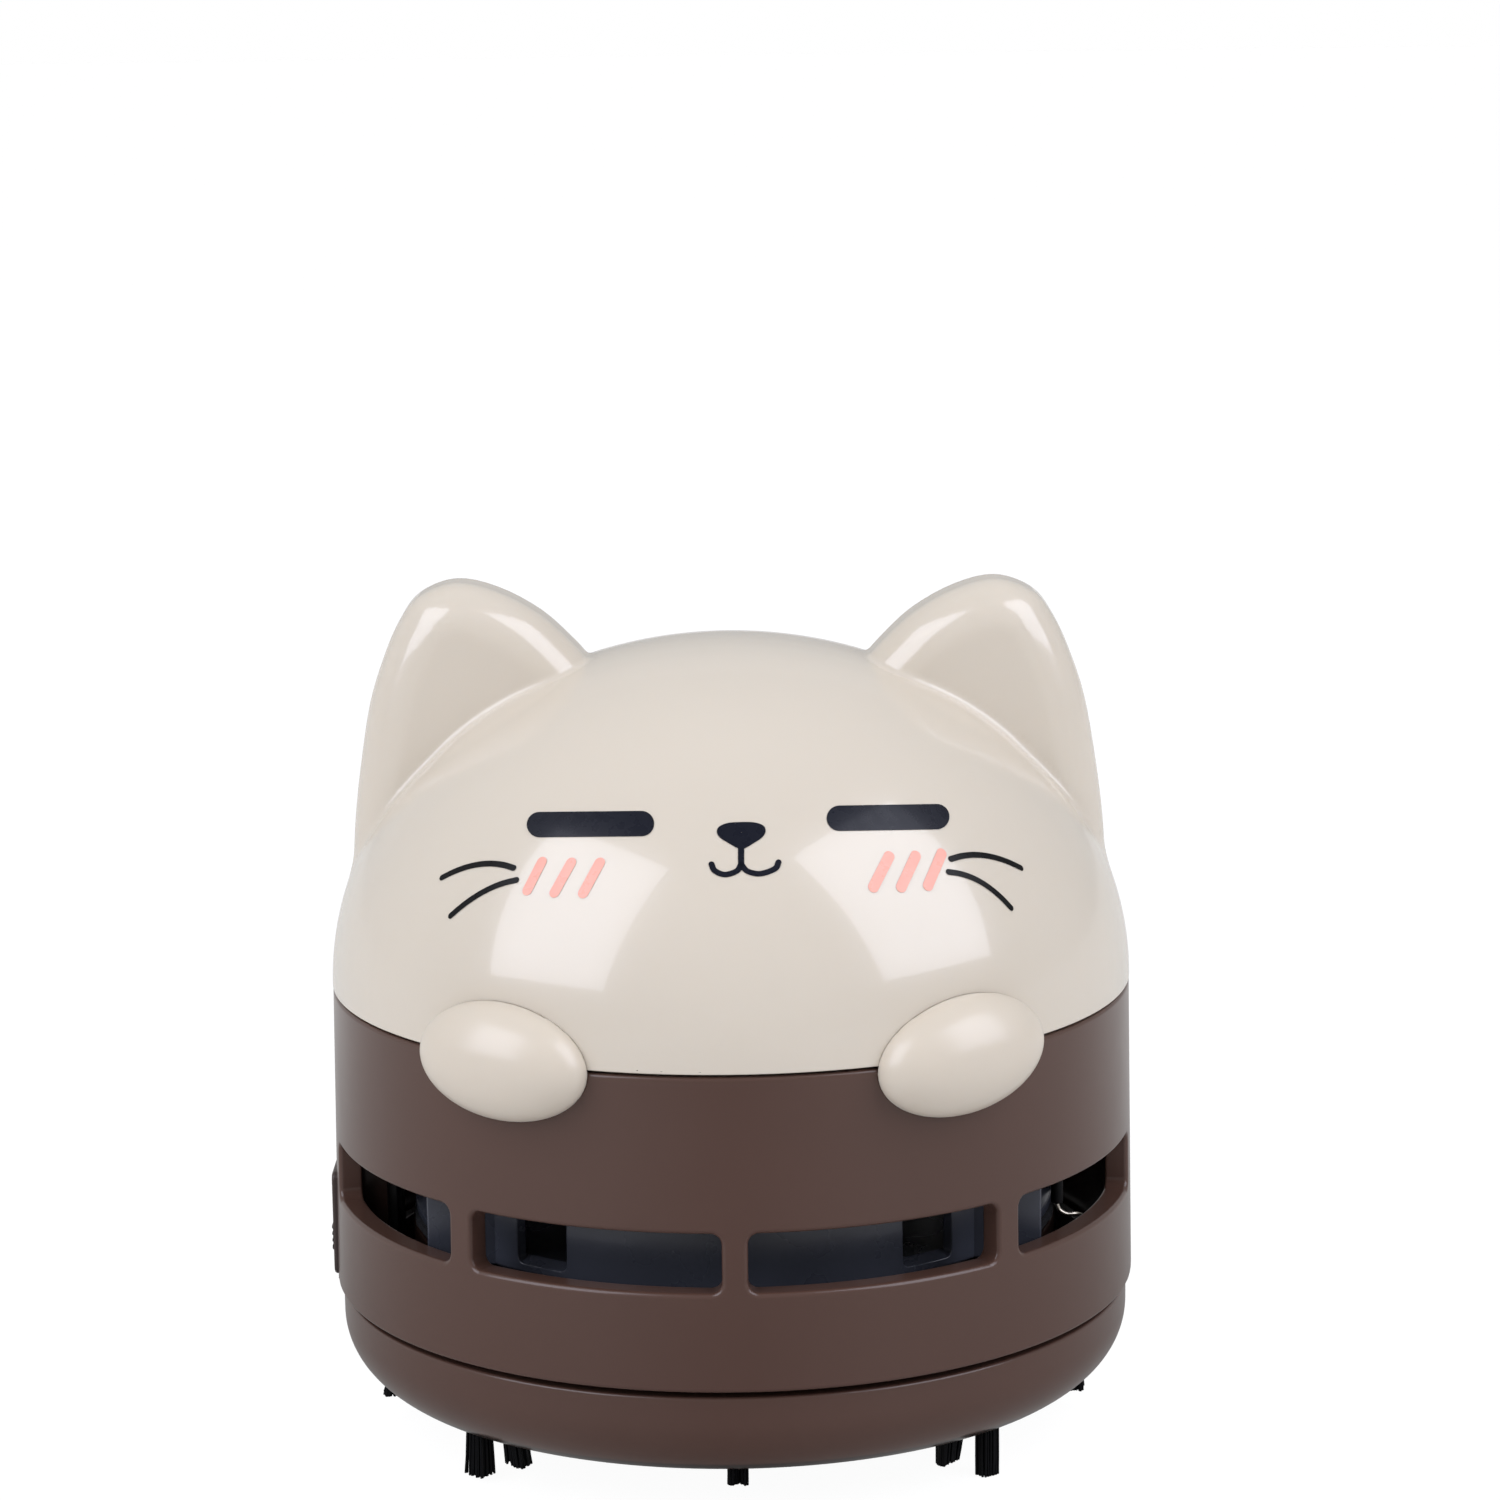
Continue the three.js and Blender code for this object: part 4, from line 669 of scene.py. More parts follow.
def rough_head():
    """Dome and ears as overlapping closed forms, remeshed evenly into one skin."""
    rough = Shape()
    foot = HEAD_Z - SKIRT
    sweep = np.linspace(0, math.pi / 2, 40)[:-1]
    arc = [(DOME_R * math.cos(t), HEAD_Z + DOME_H * math.sin(t), -1) for t in sweep]
    profile = [(0, foot, 0), (DOME_R, foot, 0), *arc, (0, HEAD_Z + DOME_H, 0)]
    lathe(rough, rounded(profile, closed=False), 96, closed=False)
    for side in (-1, 1):
        ways = [unit(b - a) for a, b in zip(np.roll(EAR_POLYGON, 1, 0), np.roll(EAR_POLYGON, -1, 0))]
        rows = []
        for t in np.linspace(0, math.pi, 9):
            y = EAR_MID - (EAR_CORE / 2 * (1 if math.cos(t) > 0 else -1) + EAR_RIM * math.cos(t))
            grown = [q + np.array([-d[1], d[0]]) * EAR_RIM * math.sin(t) for q, d in zip(EAR_POLYGON, ways)]
            normal = (0, -math.cos(t), math.sin(t) + 0.01)
            rows.append(rough.ring([((side * x, y, z), normal) for x, z in grown]))
        rough.grid(rows)
        rough.face(*rows[0][:-1])
        rough.face(*rows[-1][:-1])
    mesh = bpy.data.meshes.new("rough_head")
    mesh.from_pydata(rough.points, [], rough.faces)
    maker = bpy.data.objects.new("rough_head", mesh)
    bpy.context.scene.collection.objects.link(maker)
    remesh = maker.modifiers.new("remesh", "REMESH")
    remesh.mode = "VOXEL"
    remesh.voxel_size = VOXEL
    evaluated = maker.evaluated_get(bpy.context.evaluated_depsgraph_get())
    made = evaluated.to_mesh()
    points = np.array([v.co[:] for v in made.vertices])
    faces = [tuple(f.vertices) for f in made.polygons]
    evaluated.to_mesh_clear()
    bpy.data.objects.remove(maker)
    return points, faces


def add_head():
    shape = Shape()
    points, faces = rough_head()
    rim, slack = 0.3, 0.25
    cut = HEAD_Z + rim
    points = onto(head_distance, points)
    below = points[:, 2] < cut - slack
    faces = [f for f in faces if not all(below[i] for i in f)]
    used = sorted({i for f in faces for i in f})
    low = {i for i in used if points[i, 2] < cut}
    for i in low:
        share = DOME_R / np.hypot(points[i, 0], points[i, 1])
        points[i] = [points[i, 0] * share, points[i, 1] * share, cut]
    normals = slope(head_distance, points)
    normals /= np.linalg.norm(normals, axis=1)[:, None]
    number = {i: shape.point(points[i], normals[i]) for i in used}
    for f in faces:
        if not low.issuperset(f):
            shape.face(*(number[i] for i in f))
    sweep = np.linspace(0.02, math.pi / 2, 40)[:-1]
    lining = [(BORE * math.cos(t), HEAD_Z + (DOME_H - WALL) * math.sin(t), -1) for t in sweep]
    lip = [(DOME_R, cut, 0), (DOME_R, HEAD_Z, rim), (BORE, HEAD_Z, 0.2)]
    inner = [*lip, *lining, (0, HEAD_Z + DOME_H - WALL, 0)]
    lathe(shape, facing_in(rounded(inner[::-1], closed=False)), 200, closed=False)
    spigot = [
        (39.2, 45.35), (40.6, 45.35), (40.6, HEAD_Z + 0.5, 0), (42, HEAD_Z + 0.5, 0), (42, HEAD_Z + 1, 0),
        (39.2, HEAD_Z + 1, 0),
    ]
    lathe(shape, rounded(spigot, 0.2), 160)
    return shape.piece("head", cream, "head", "cream_gloss", "head_shell")


PAW_HALF = np.array([9.8, 5.0, 6.05])
PAW_AZIMUTH, PAW_CIRCLE, PAW_Z, PAW_GAP = 32.4, 43.0, 48.25, 0.06


def add_paw(name, node, side, tilt):
    """An ellipsoid laid over the seam, its back fitted to the dome and the barrel."""
    shape = Shape()
    t, azimuth = math.radians(tilt), math.radians(PAW_AZIMUTH) * side
    centre = np.array([PAW_CIRCLE * math.sin(azimuth), -PAW_CIRCLE * math.cos(azimuth), PAW_Z])

    def behind(p):
        barrel = np.hypot(p[:, 0], p[:, 1]) - outer_radius(np.clip(p[:, 2], FOOT_Z, TOP_Z))
        return np.where(p[:, 2] < HEAD_Z, barrel, dome_distance(p))

    def turn(q):
        x, y, z = q.T
        x, z = x * math.cos(t) - side * z * math.sin(t), side * x * math.sin(t) + z * math.cos(t)
        s, c = math.sin(azimuth), math.cos(azimuth)
        return np.stack([x * c - y * s, x * s + y * c, z], 1)

    around, along = 96, 64
    w = 2 * math.pi * np.arange(around) / around
    rows = []
    for u in math.pi * np.arange(along + 1) / along:
        s, c = math.sin(u), math.cos(u)
        ring = np.stack([np.full(around, -c), s * np.cos(w), s * np.sin(w)], 1)
        points = turn(ring * PAW_HALF) + centre
        normals = turn(ring / PAW_HALF)
        normals /= np.linalg.norm(normals, axis=1)[:, None]
        back = behind(points) < PAW_GAP
        if back.any():
            points[back] = onto(behind, points[back], PAW_GAP, 3)
            flat = points[back] * [1, 1, 0]
            normals[back] = -flat / np.linalg.norm(flat, axis=1)[:, None]
        rows.append(shape.ring(zip(points, normals)))
    shape.grid(rows)
    return shape.piece(name, cream_paw, "head", "cream_gloss", node)


add_head()
add_paw("paw_l", "paw_left", -1, 2.5)
add_paw("paw_r", "paw_right", 1, 6.0)


# Printed face
CAMERA = np.array(bpy.context.scene.camera.matrix_world.translation) / MM
CAMERA_TURN = np.array(bpy.context.scene.camera.matrix_world.to_3x3())
INK_LIFT = 0.05


def on_dome(p):
    """The point of the dome that the camera sees behind p."""
    axes = np.array([DOME_R + INK_LIFT, DOME_R + INK_LIFT, DOME_H + INK_LIFT])
    start = (CAMERA - [0, 0, HEAD_Z]) / axes
    way = unit(np.array(p, float) - CAMERA)
    step = way / axes
    a, b, c = step @ step, 2 * start @ step, start @ start - 1
    return CAMERA + way * (-b - math.sqrt(b * b - 4 * a * c)) / (2 * a)


def pixel_ray(x, y):
    """The direction from the camera through a pixel of the photograph."""
    return unit(CAMERA_TURN @ np.array([x - PHOTO / 2, PHOTO / 2 - y, -FOCAL]))


def behind_pixel(x, y):
    """The dome's point behind a pixel of the photograph."""
    return on_dome(CAMERA + pixel_ray(x, y) * 400)


def dome_normal(p):
    return unit(np.array([p[0] / DOME_R**2, p[1] / DOME_R**2, (p[2] - HEAD_Z) / DOME_H**2]))


def settled(p):
    """The point moved onto the ink's surface."""
    return onto(dome_distance, np.array([p]), INK_LIFT, 2)[0]


def stroke(shape, ends, width, steps=10):
    """A printed stroke with round ends along the given points."""
    path = [on_dome(p) for p in smooth_path(ends, steps)]
    last = len(path) - 1
    rows = []
    for i, p in enumerate(path):
        along = unit(path[min(i + 1, last)] - path[max(i - 1, 0)])
        swings = [0.0]
        if i == 0:
            swings = [*np.linspace(-85, -15, 5), 0.0]
        elif i == last:
            swings = [0.0, *np.linspace(15, 85, 5)]
        for swing in np.radians(swings):
            middle = p + along * width / 2 * math.sin(swing)
            half = width / 2 * math.cos(swing)
            n = dome_normal(middle)
            side = unit(np.cross(n, along))
            rows.append([shape.point(settled(middle + side * half * k), n) for k in (-1, -0.5, 0, 0.5, 1)])
    shape.grid(rows)


def bowed(start, middle, end):
    """A smooth bow through three points."""
    control = 2 * middle - (start + end) / 2
    return [start * (1 - t) ** 2 + control * 2 * t * (1 - t) + end * t**2 for t in np.linspace(0, 1, 8)]


# Ends of the eyes' bars, of the whiskers and of the blush strokes, in pixels of the photograph
EYE_HALF = 12.7
EYES = (((526.7, 824.7), (654.1, 823.4)), ((826.7, 818.4), (949.5, 816.4)))
WHISKERS = (
    ((513.5, 867.9), (479.5, 864.2), (441.7, 877.6)), ((516.3, 880), (483.5, 891.6), (450.4, 915.8)),
    ((951, 859), (984.5, 855.4), (1021.2, 867.9)), ((948.7, 871.9), (981, 882), (1011.2, 907.8)),
)
BLUSHES = (
    (541.6, 861.9, 527.3, 890), (570.9, 862.7, 554.5, 892.3), (599.6, 862.7, 583.2, 892.9),
    (889.3, 856.1, 873.5, 887.1), (915.9, 855.6, 901.3, 887.1), (941.8, 853.3, 928, 885.7),
)
WHISKER_WIDTH, BLUSH_WIDTH = 0.66, 1.15  # in millimetres
# The nose's outline round its centre, and the mouth's three strokes from one joint, in millimetres
NOSE_CENTRE = np.array([1.2, -33.7, 70.9])
NOSE = [
    (-2.45, 0.05), (-2.2, 0.62), (-1.3, 0.98), (0, 1.05), (1.3, 1.0), (2.2, 0.68), (2.45, 0.1),
    (2.1, -0.55), (1.2, -1.15), (0.45, -1.6), (0, -1.75), (-0.45, -1.6), (-1.2, -1.15), (-2.1, -0.55),
]
MOUTH_JOINT = (1.14, -36.18, 68.17)
MOUTH = (
    ([(1.16, -34.6, 69.9), (1.15, -35.5, 68.9), MOUTH_JOINT], 0.62),
    ([MOUTH_JOINT, (0.7, -36.6, 67.58), (-0.5, -36.81, 67.27), (-1.5, -36.5, 67.62),
      (-1.82, -36.11, 68.2)], 0.6),
    ([MOUTH_JOINT, (1.75, -36.6, 67.55), (3.02, -36.67, 67.28), (4.5, -36.2, 67.66),
      (4.89, -35.81, 68.25)], 0.6),
)


def add_face():
    eyes = Shape()
    for left, right in np.array(EYES):
        length = np.linalg.norm(right - left)
        along = (right - left) / length
        across = np.array([-along[1], along[0]])
        turned = np.radians(np.linspace(4, 90, 9))
        end = [(EYE_HALF * (1 - math.cos(t)), EYE_HALF * math.sin(t)) for t in turned]
        middle = [(u, EYE_HALF) for u in np.linspace(EYE_HALF, length - EYE_HALF, 12)[1:-1]]
        rows = []
        for u, h in end + middle + [(length - u, h) for u, h in end[::-1]]:
            spots = [behind_pixel(*(left + along * u + across * h * k)) for k in np.linspace(-1, 1, 9)]
            rows.append([eyes.point(p, dome_normal(p)) for p in spots])
        eyes.grid(rows)
    eyes.piece("eyes_print", print_ink, "head", "cream_gloss")

    nose = Shape()
    corners = [np.array(p) for p in NOSE]
    around = [[corners[(i + k) % len(corners)] for k in (-1, 0, 1, 2)] for i in range(len(corners))]
    curve = [spline(*four, k / 5) for four in around for k in range(5)]
    rows = []
    for share in (0.02, 0.35, 0.7, 1.0):
        spots = [on_dome(NOSE_CENTRE + [x * share, 0, z * share]) for x, z in curve]
        rows.append(nose.ring([(p, dome_normal(p)) for p in spots]))
    nose.grid(rows)
    for points, width in MOUTH:
        stroke(nose, points, width)
    nose.piece("nose_and_mouth_print", print_ink, "head", "cream_gloss")

    whiskers = Shape()
    for ends in WHISKERS:
        stroke(whiskers, bowed(*(behind_pixel(x, y) for x, y in ends)), WHISKER_WIDTH, steps=3)
    whiskers.piece("whiskers_print", whisker_ink, "head", "cream_gloss")

    blush = Shape()
    for x0, y0, x1, y1 in BLUSHES:
        pixels = ((x0, y0), ((x0 + x1) / 2, (y0 + y1) / 2), (x1, y1))
        stroke(blush, [behind_pixel(x, y) for x, y in pixels], BLUSH_WIDTH)
    blush.piece("blush_print", blush_ink, "head", "cream_gloss")


add_face()


# Barrel, fan housing and base
def mirrored(windows):
    return [(side * centre, half) for centre, half in windows for side in (1, -1)]


VENTS = mirrored([(20.05, 18.3), (60.4, 18.05), (119.6, 18.05), (159.95, 18.3)])
DRUM_WINDOWS = mirrored([(35, 5.2), (68, 17), (140, 12)])
POST_R = 3.0
BAR_EDGE = 0.2
POST_PLACES = [radial(azimuth)[0][:2] * POST_CIRCLE for azimuth in POSTS]


def add_barrel():
    shape = Shape()
    windowed_wall(
        shape, outer=outer_radius, inner=BORE, foot=FOOT_Z, top=TOP_Z, windows=VENTS, z0=25.7, z1=31.9,
        corner=1.15, lip=0.5, rim=0.4, side_rows=(30.75, 29.0, 27.5, 26.85), notch=(-90, 6.3, 27.5),
    )
    deck = [(41.2, DECK_LOW, 0), (41.2, DECK_TOP, 0), (3.4, DECK_TOP), (3.4, DECK_LOW)]
    lathe(shape, rounded(deck, 0.3), 120)
    motor_seat = [(12.6, 36), (14.1, 36), (14.1, 41.5), (12.6, 41.5)]
    lathe(shape, rounded(motor_seat, 0.3), 80)
    top, depth = 52.7, 8
    tray_post = [
        (0, top - depth, 0), (1.4, top - depth, 0), (1.4, top, 0.15), (POST_R, top, 0.3), (POST_R, 36.5, 0),
    ]
    for y in (21, -21):
        lathe(shape, facing_in(rounded(tray_post, closed=False)), 40, (0, y), closed=False)
    for place in POST_PLACES:
        rod(shape, POST_R, 36.5, 41.5, place, 0.3, 40)
    for side in (-1, 1):
        box(shape, (-41.5, -37.6), (side * 5.2, side * 6.4), (17.6, 36.0), BAR_EDGE)
    return shape.piece("barrel", brown, "body", "brown_satin", "body_shell")


def add_fan_housing():
    shape = Shape()
    windowed_wall(
        shape, outer=lambda z: 35.0, inner=33.5, foot=23.1, top=35.2, windows=DRUM_WINDOWS, z0=24.0,
        z1=34.2, corner=0.75, lip=0.15, rim=0.2, side_rows=(33.45, 30, 24.75),
    )
    floor = [(11, 23.0, 0.3), (34.95, 23.0, 0.2), (34.95, 23.95, 0), (33.45, 24.5, 0.2), (11, 24.5, 0.5)]
    lathe(shape, rounded(floor), 160)
    for place in POST_PLACES:
        rod(shape, POST_R, 23.5, 35.2, place, 0.2, 36)
    for wing in ((24.7, 32.1), (-32.1, -24.7)):
        box(shape, wing, (-24.44, -23.14), (23.0, 35.2), BAR_EDGE)
    return shape.piece("fan_drum", drum, "body", "blue_black_gloss", "fan_housing")


def add_base():
    shape = Shape()
    power, run, inner_r, ledge_r, top_r, edge_top, under = 2.1, 8.6, 34.52, 39.7, 43.12, 11.9, 4.5
    edge = []
    for k in range(30):
        r = ledge_r + (top_r - ledge_r) * math.sin(math.pi / 2 * k / 30)
        s = (r - inner_r) / run
        edge.append((r, edge_top - (edge_top - under) * (1 - s**power) ** (1 / power), -1 if k else 0.3))
    corners = [
        (8, under, 0.6), (35.3, under, 0.3), (35.3, 7.7, 0.1), (ledge_r, 7.7, 0.1), *edge,
        (top_r, edge_top, -1), (top_r, 14.65, 0.35), (40.6, 14.65, 0.1), (40.6, 16.75, 0.3),
        (39.4, 16.75, 0.3), (39.4, 9.2, 0.5), (35.3, 9.2, 0.5), (35.3, 21.7, 0.3), (33.8, 21.7, 0.3),
        (33.8, 18.4, 0.1), (32.2, 18.4, 0.3), (32.2, 6.5, 1.5), (9.6, 6.5, 0.8), (9.6, 14, 0.4),
        (8, 14, 0.4),
    ]
    lathe(shape, rounded(corners), 240)
    return shape.piece("dust_cup", brown, "base", "brown_satin", "base_cup")


add_barrel()
add_fan_housing()
add_base()


# Bristles
BRISTLE_CIRCLE, ROOT_Z, STRAND_R = 37.5, 6.9, 0.14
HOLE_ACROSS, HOLE_OUT = 0.98, 0.85  # half sizes of a tuft at its root
CUT_PLAY, END_PLAY, BOW_PLAY = 0.05, 0.03, 0.05
TABLE = 0.06  # as low as a strand may reach


def tuft(shape, azimuth, tip, splay, lean=0.0, ragged=0.0, slant=0.0, count=90, sideways=0.0, wide=1.0):
    """Nylon strands folded into one hole of the strip, cut off at the tip's height. splay: how much
    wider the cut is than the root. ragged: how much shorter the strands of one half may be. slant:
    how much the cut rises from one side to the other."""
    e_r, e_a = radial(azimuth)
    for _ in range(count):
        a, b = rng.uniform(-1, 1), rng.uniform(-1, 1)
        across, out = a * HOLE_ACROSS * wide, b * HOLE_OUT
        root = e_r * (BRISTLE_CIRCLE + out) + e_a * across + [0, 0, ROOT_Z]
        cut = tip + slant * (a + 1) / 2 + rng.uniform(0, CUT_PLAY)
        if a < 0:
            cut += rng.uniform(0, ragged)
        end = e_r * (BRISTLE_CIRCLE + out * splay + lean) + e_a * (across * splay + sideways) + [0, 0, cut]
        end = end + [rng.gauss(0, END_PLAY), rng.gauss(0, END_PLAY), 0]
        bow = np.array([rng.gauss(0, BOW_PLAY), rng.gauss(0, BOW_PLAY), 0])
        path = [root + (end - root) * s + bow * math.sin(math.pi * s) for s in (0, 0.35, 0.7, 1)]
        tube(shape, path, STRAND_R, sides=5)


def strip(shape, centre, reach):
    """The backing that the tufts are set in."""
    profile = rounded([(35.6, 6.3), (39.4, 6.3), (39.4, 7.4), (35.6, 7.4)], 0.2)
    rows = []
    for i in range(reach + 1):
        e_r, _ = radial(centre - reach + 2 * i)
        rows.append(shape.ring([
            (e_r * r + [0, 0, z], e_r * nr + [0, 0, nz]) for (r, z), (nr, nz) in profile
        ]))
    shape.grid(rows)
    for row, side in ((rows[0], -1), (rows[-1], 1)):
        shape.end(row, radial(centre + side * reach)[1] * side)


def add_brushes():
    """One piece for each strip with its tufts."""
    for name, node, centre in (("bristles_front", "brush_front", 0), ("bristles_rear", "brush_rear", 180)):
        shape = Shape()
        strip(shape, centre, 52)
        tuft(shape, centre - 46.2, 0.6 if centre == 0 else TABLE, 1.3)
        tuft(shape, centre + 44.3, TABLE, 1.02)
        tuft(shape, centre - 38.3, 2.75, 1.08, lean=-0.4, ragged=0.6, sideways=0.2, wide=1.1)
        tuft(shape, centre + 36.1, 2.5, 0.75, lean=-0.4, slant=0.35, wide=1.42, count=110)
        tuft(shape, centre, 3.4, 1.0, lean=-0.4)
        shape.piece(name, nylon, "base", "black_bristle", node)
    for name, node, centre, tip, lean in (
        ("bristles_right", "brush_right", 90, 2.4, 0.3), ("bristles_left", "brush_left", -90, 2.9, 1.0),
    ):
        shape = Shape()
        strip(shape, centre, 20)
        for swing in (-11, 11):
            tuft(shape, centre + swing, tip, 1.05, lean=lean)
        shape.piece(name, nylon, "base", "black_bristle", node)


add_brushes()


# Switch on the left
def oblong(ys, zs, radius):
    corners = [(ys[0], zs[0]), (ys[1], zs[0]), (ys[1], zs[1]), (ys[0], zs[1])]
    return rounded(corners, radius, steps=5)


def add_switch():
    face, back = -43.95, -41.65
    outer_edge, slot_edge = 0.35, 0.3
    plate = Shape()
    outer = oblong((-4.5, 4.5), (15.6, 27.2), 0.9)
    slot = oblong((-1.5, 1.5), (17.1, 24.7), 0.5)

    def ring(outline, x, inset, normal_x, share):
        """An outline drawn in by the inset. share: how far its normals lean out of the outline."""
        return plate.ring([
            ((x, y - ny * inset, z - nz * inset), (normal_x, ny * share, nz * share))
            for (y, z), (ny, nz) in outline
        ])

    rows = [ring(outer, back, 0, 0, 1)]
    for sine, cosine in quarter(4):
        rows.append(ring(outer, face + outer_edge * (1 - sine), outer_edge * (1 - cosine), -sine, cosine))
    for sine, cosine in quarter(4)[::-1]:
        rows.append(ring(slot, face + slot_edge * (1 - sine), slot_edge * (cosine - 1), -sine, -cosine))
    rows.append(ring(slot, back, 0, 0, -1))
    plate.grid(rows)
    plate.grid([ring(outline, back, 0, 1, 0) for outline in (slot, outer)])
    plate.piece("switch_face", dark_brown, "body", "dark_brown", "switch_plate")

    knob = Shape()
    front, groove, root = -44.4, -44.15, -38.95
    corners = [(root, 17.4, 0.1), (root, 20.4, 0.1), (front, 20.4, 0.3)]
    for z in (19.65, 18.9, 18.15):
        corners += [(front, z + 0.22, 0.08), (groove, z + 0.16, 0.06)]
        corners += [(groove, z - 0.16, 0.06), (front, z - 0.22, 0.08)]
    profile = rounded([*corners, (front, 17.4, 0.3)], 0.1)
    half, edge, lean = 1.2, 0.18, 0.8
    rows = []
    for y, inset, tilt in (
        (-half, edge, -lean), (-half + edge, 0, 0), (half - edge, 0, 0), (half, edge, lean),
    ):
        rows.append(knob.ring([
            ((x - nx * inset, y, z - nz * inset), (nx, tilt, nz)) for (x, z), (nx, nz) in profile
        ]))
    knob.grid(rows)
    knob.end(rows[0], (0, -1, 0))
    knob.end(rows[-1], (0, 1, 0))
    knob.piece("slide_button", dark_brown, "switch_slider", "dark_brown", "switch_knob")


add_switch()


# Motor, cells and leads
CELL_Y, CELL_Z, CELL_START = 7.65, 62.05, -22.6


def add_motor():
    can = Shape()
    profile = [
        (1.3, 36.6, 0.2), (3, 36.6, 0.4), (3, 37.8, 0.1), (12.2, 37.8, 0.8), (12.2, 50.1, 0.3),
        (11.3, 50.1, 0.2), (11.3, 38.7, 0.5), (1.3, 38.7, 0.2),
    ]
    lathe(can, rounded(profile), 96)
    can.piece("motor_case", can_steel, "body", "steel", "motor_can")
    cap = Shape()
    profile = [
        (1.3, 49, 0.1), (11, 49, 0.2), (11, 50.1, 0.3), (3.2, 50.1, 0.3), (3.2, 51.3, 0.5), (0, 51.3, 0),
    ]
    lathe(cap, rounded(profile, closed=False), 96, closed=False)
    cap.piece("motor_cap", black, "body", "black_plastic", "motor_end_cap")


def lie(shape, outline, direction):
    """An outline of radii and lengths along a cell, turned about the cell's axis."""
    base = np.array([direction * CELL_START, direction * CELL_Y, CELL_Z])
    spin(shape, outline, 96, base, lambda s, c, h: np.array([direction * h, c, s]))


def add_cells():
    outline = rounded([
        (0, 0, 0), (6.9, 0, 0.5), (7.2, 0.4, 0.3), (7.25, 48.7, 0.7), (6.3, 49.3, 0.3), (2.7, 49.3, 0.2),
        (2.7, 50.5, 0.5), (0, 50.5, 0),
    ], closed=False)
    band_edge = 0.05
    for i, direction in enumerate((1, -1)):
        cell, band = Shape(), Shape()
        lie(cell, outline, direction)
        cell.piece(f"aa_cell_{i + 1}", sleeve, "body", "cell_wrap", f"battery_cell_{i + 1}")
        for low, high, r in ((1.5, 13.5, 7.27), (48.0, 48.9, 7.2)):
            lie(band, [
                ((r - band_edge, low), (0.3, -1)), ((r, low + band_edge), (1, 0)),
                ((r, high - band_edge), (1, 0)), ((r - band_edge, high), (0.3, 1)),
            ], direction)
        band.piece(f"cell_band_{i + 1}", sleeve_band, "body", "cell_wrap")
    turns, steps, wire, foot, length, wide, narrow = 3, 40, 0.3, 27.9, 4.4, 4.2, 3.1
    for i, direction in enumerate((-1, 1)):
        spring = Shape()
        path = []
        for k in range(turns * steps + 1):
            share = k / (turns * steps)
            a = share * turns * 2 * math.pi
            r = wide + (narrow - wide) * share - wire
            x = direction * (foot - (wire + length * share))
            path.append((x, r * math.sin(a) - direction * CELL_Y, CELL_Z + r * math.cos(a)))
        tube(spring, path, wire, 10)
        spring.piece(f"cell_spring_{i + 1}", nickel, "body", "nickel_plate", f"contact_spring_{i + 1}")


LEADS = {
    "lead_battery_switch": (red_wire, "red_wire", [
        (28.4, 7.65, 50.7), (28.3, 7.9, 48), (26.5, 13, 44.6), (14, 27.5, 43.6), (-3, 31, 43.6),
        (-21, 24.5, 43.6), (-33, 12, 43), (-37.6, 5, 40.6), (-38.5, 2.5, 37.5), (-38.5, 2.5, 33.2),
        (-38.5, 2.5, 29.3),
    ]),
    "lead_switch_motor": (red_wire, "red_wire", [
        (-38.5, -2.5, 29.3), (-38.5, -2.5, 33.2), (-38.5, -2.5, 37.5), (-36.3, -3, 41.6), (-29, -4, 45.5),
        (-18, -3.6, 50), (-10, -2, 51.7), (-5.55, 0, 51.7),
    ]),
    "lead_battery_motor": (black_wire, "black_wire", [
        (28.4, -7.65, 50.7), (27.5, -7.2, 48.8), (22, -5.5, 49), (14.5, -2, 51.7), (10, -0.5, 51.7),
        (5.55, 0, 51.7),
    ]),
    "lead_can": (black_wire, "black_wire", [
        (9.98, -7.52, 46.5), (14.5, -10.8, 46.6), (23, -15.6, 44.5), (31, -17.0, 41), (34.27, -17.54, 37.5),
        (34.27, -17.54, 33.2), (34.27, -17.54, 26.9),
    ]),
}
TINNED_END = [
    (34.27, -17.54, 26.6), (34.6, -17.6, 25.95), (35.3, -17.6, 25.55), (36.29, -17.3, 25.47),
    (36.9, -16.5, 25.1),
]
LEAD_R, TINNED_R = 0.65, 0.23


def add_leads():
    for node, (wire, slot, points) in LEADS.items():
        shape = Shape()
        tube(shape, smooth_path(points, 10), LEAD_R, 14)
        shape.piece(node.replace("lead", "wire"), wire, "body", slot, node)
    tip = Shape()
    tube(tip, smooth_path(TINNED_END, 12), TINNED_R, 12)
    tip.piece("wire_tinned_end", tinned, "body", "tinned_wire", "lead_can_tip")


add_motor()
add_cells()
add_leads()


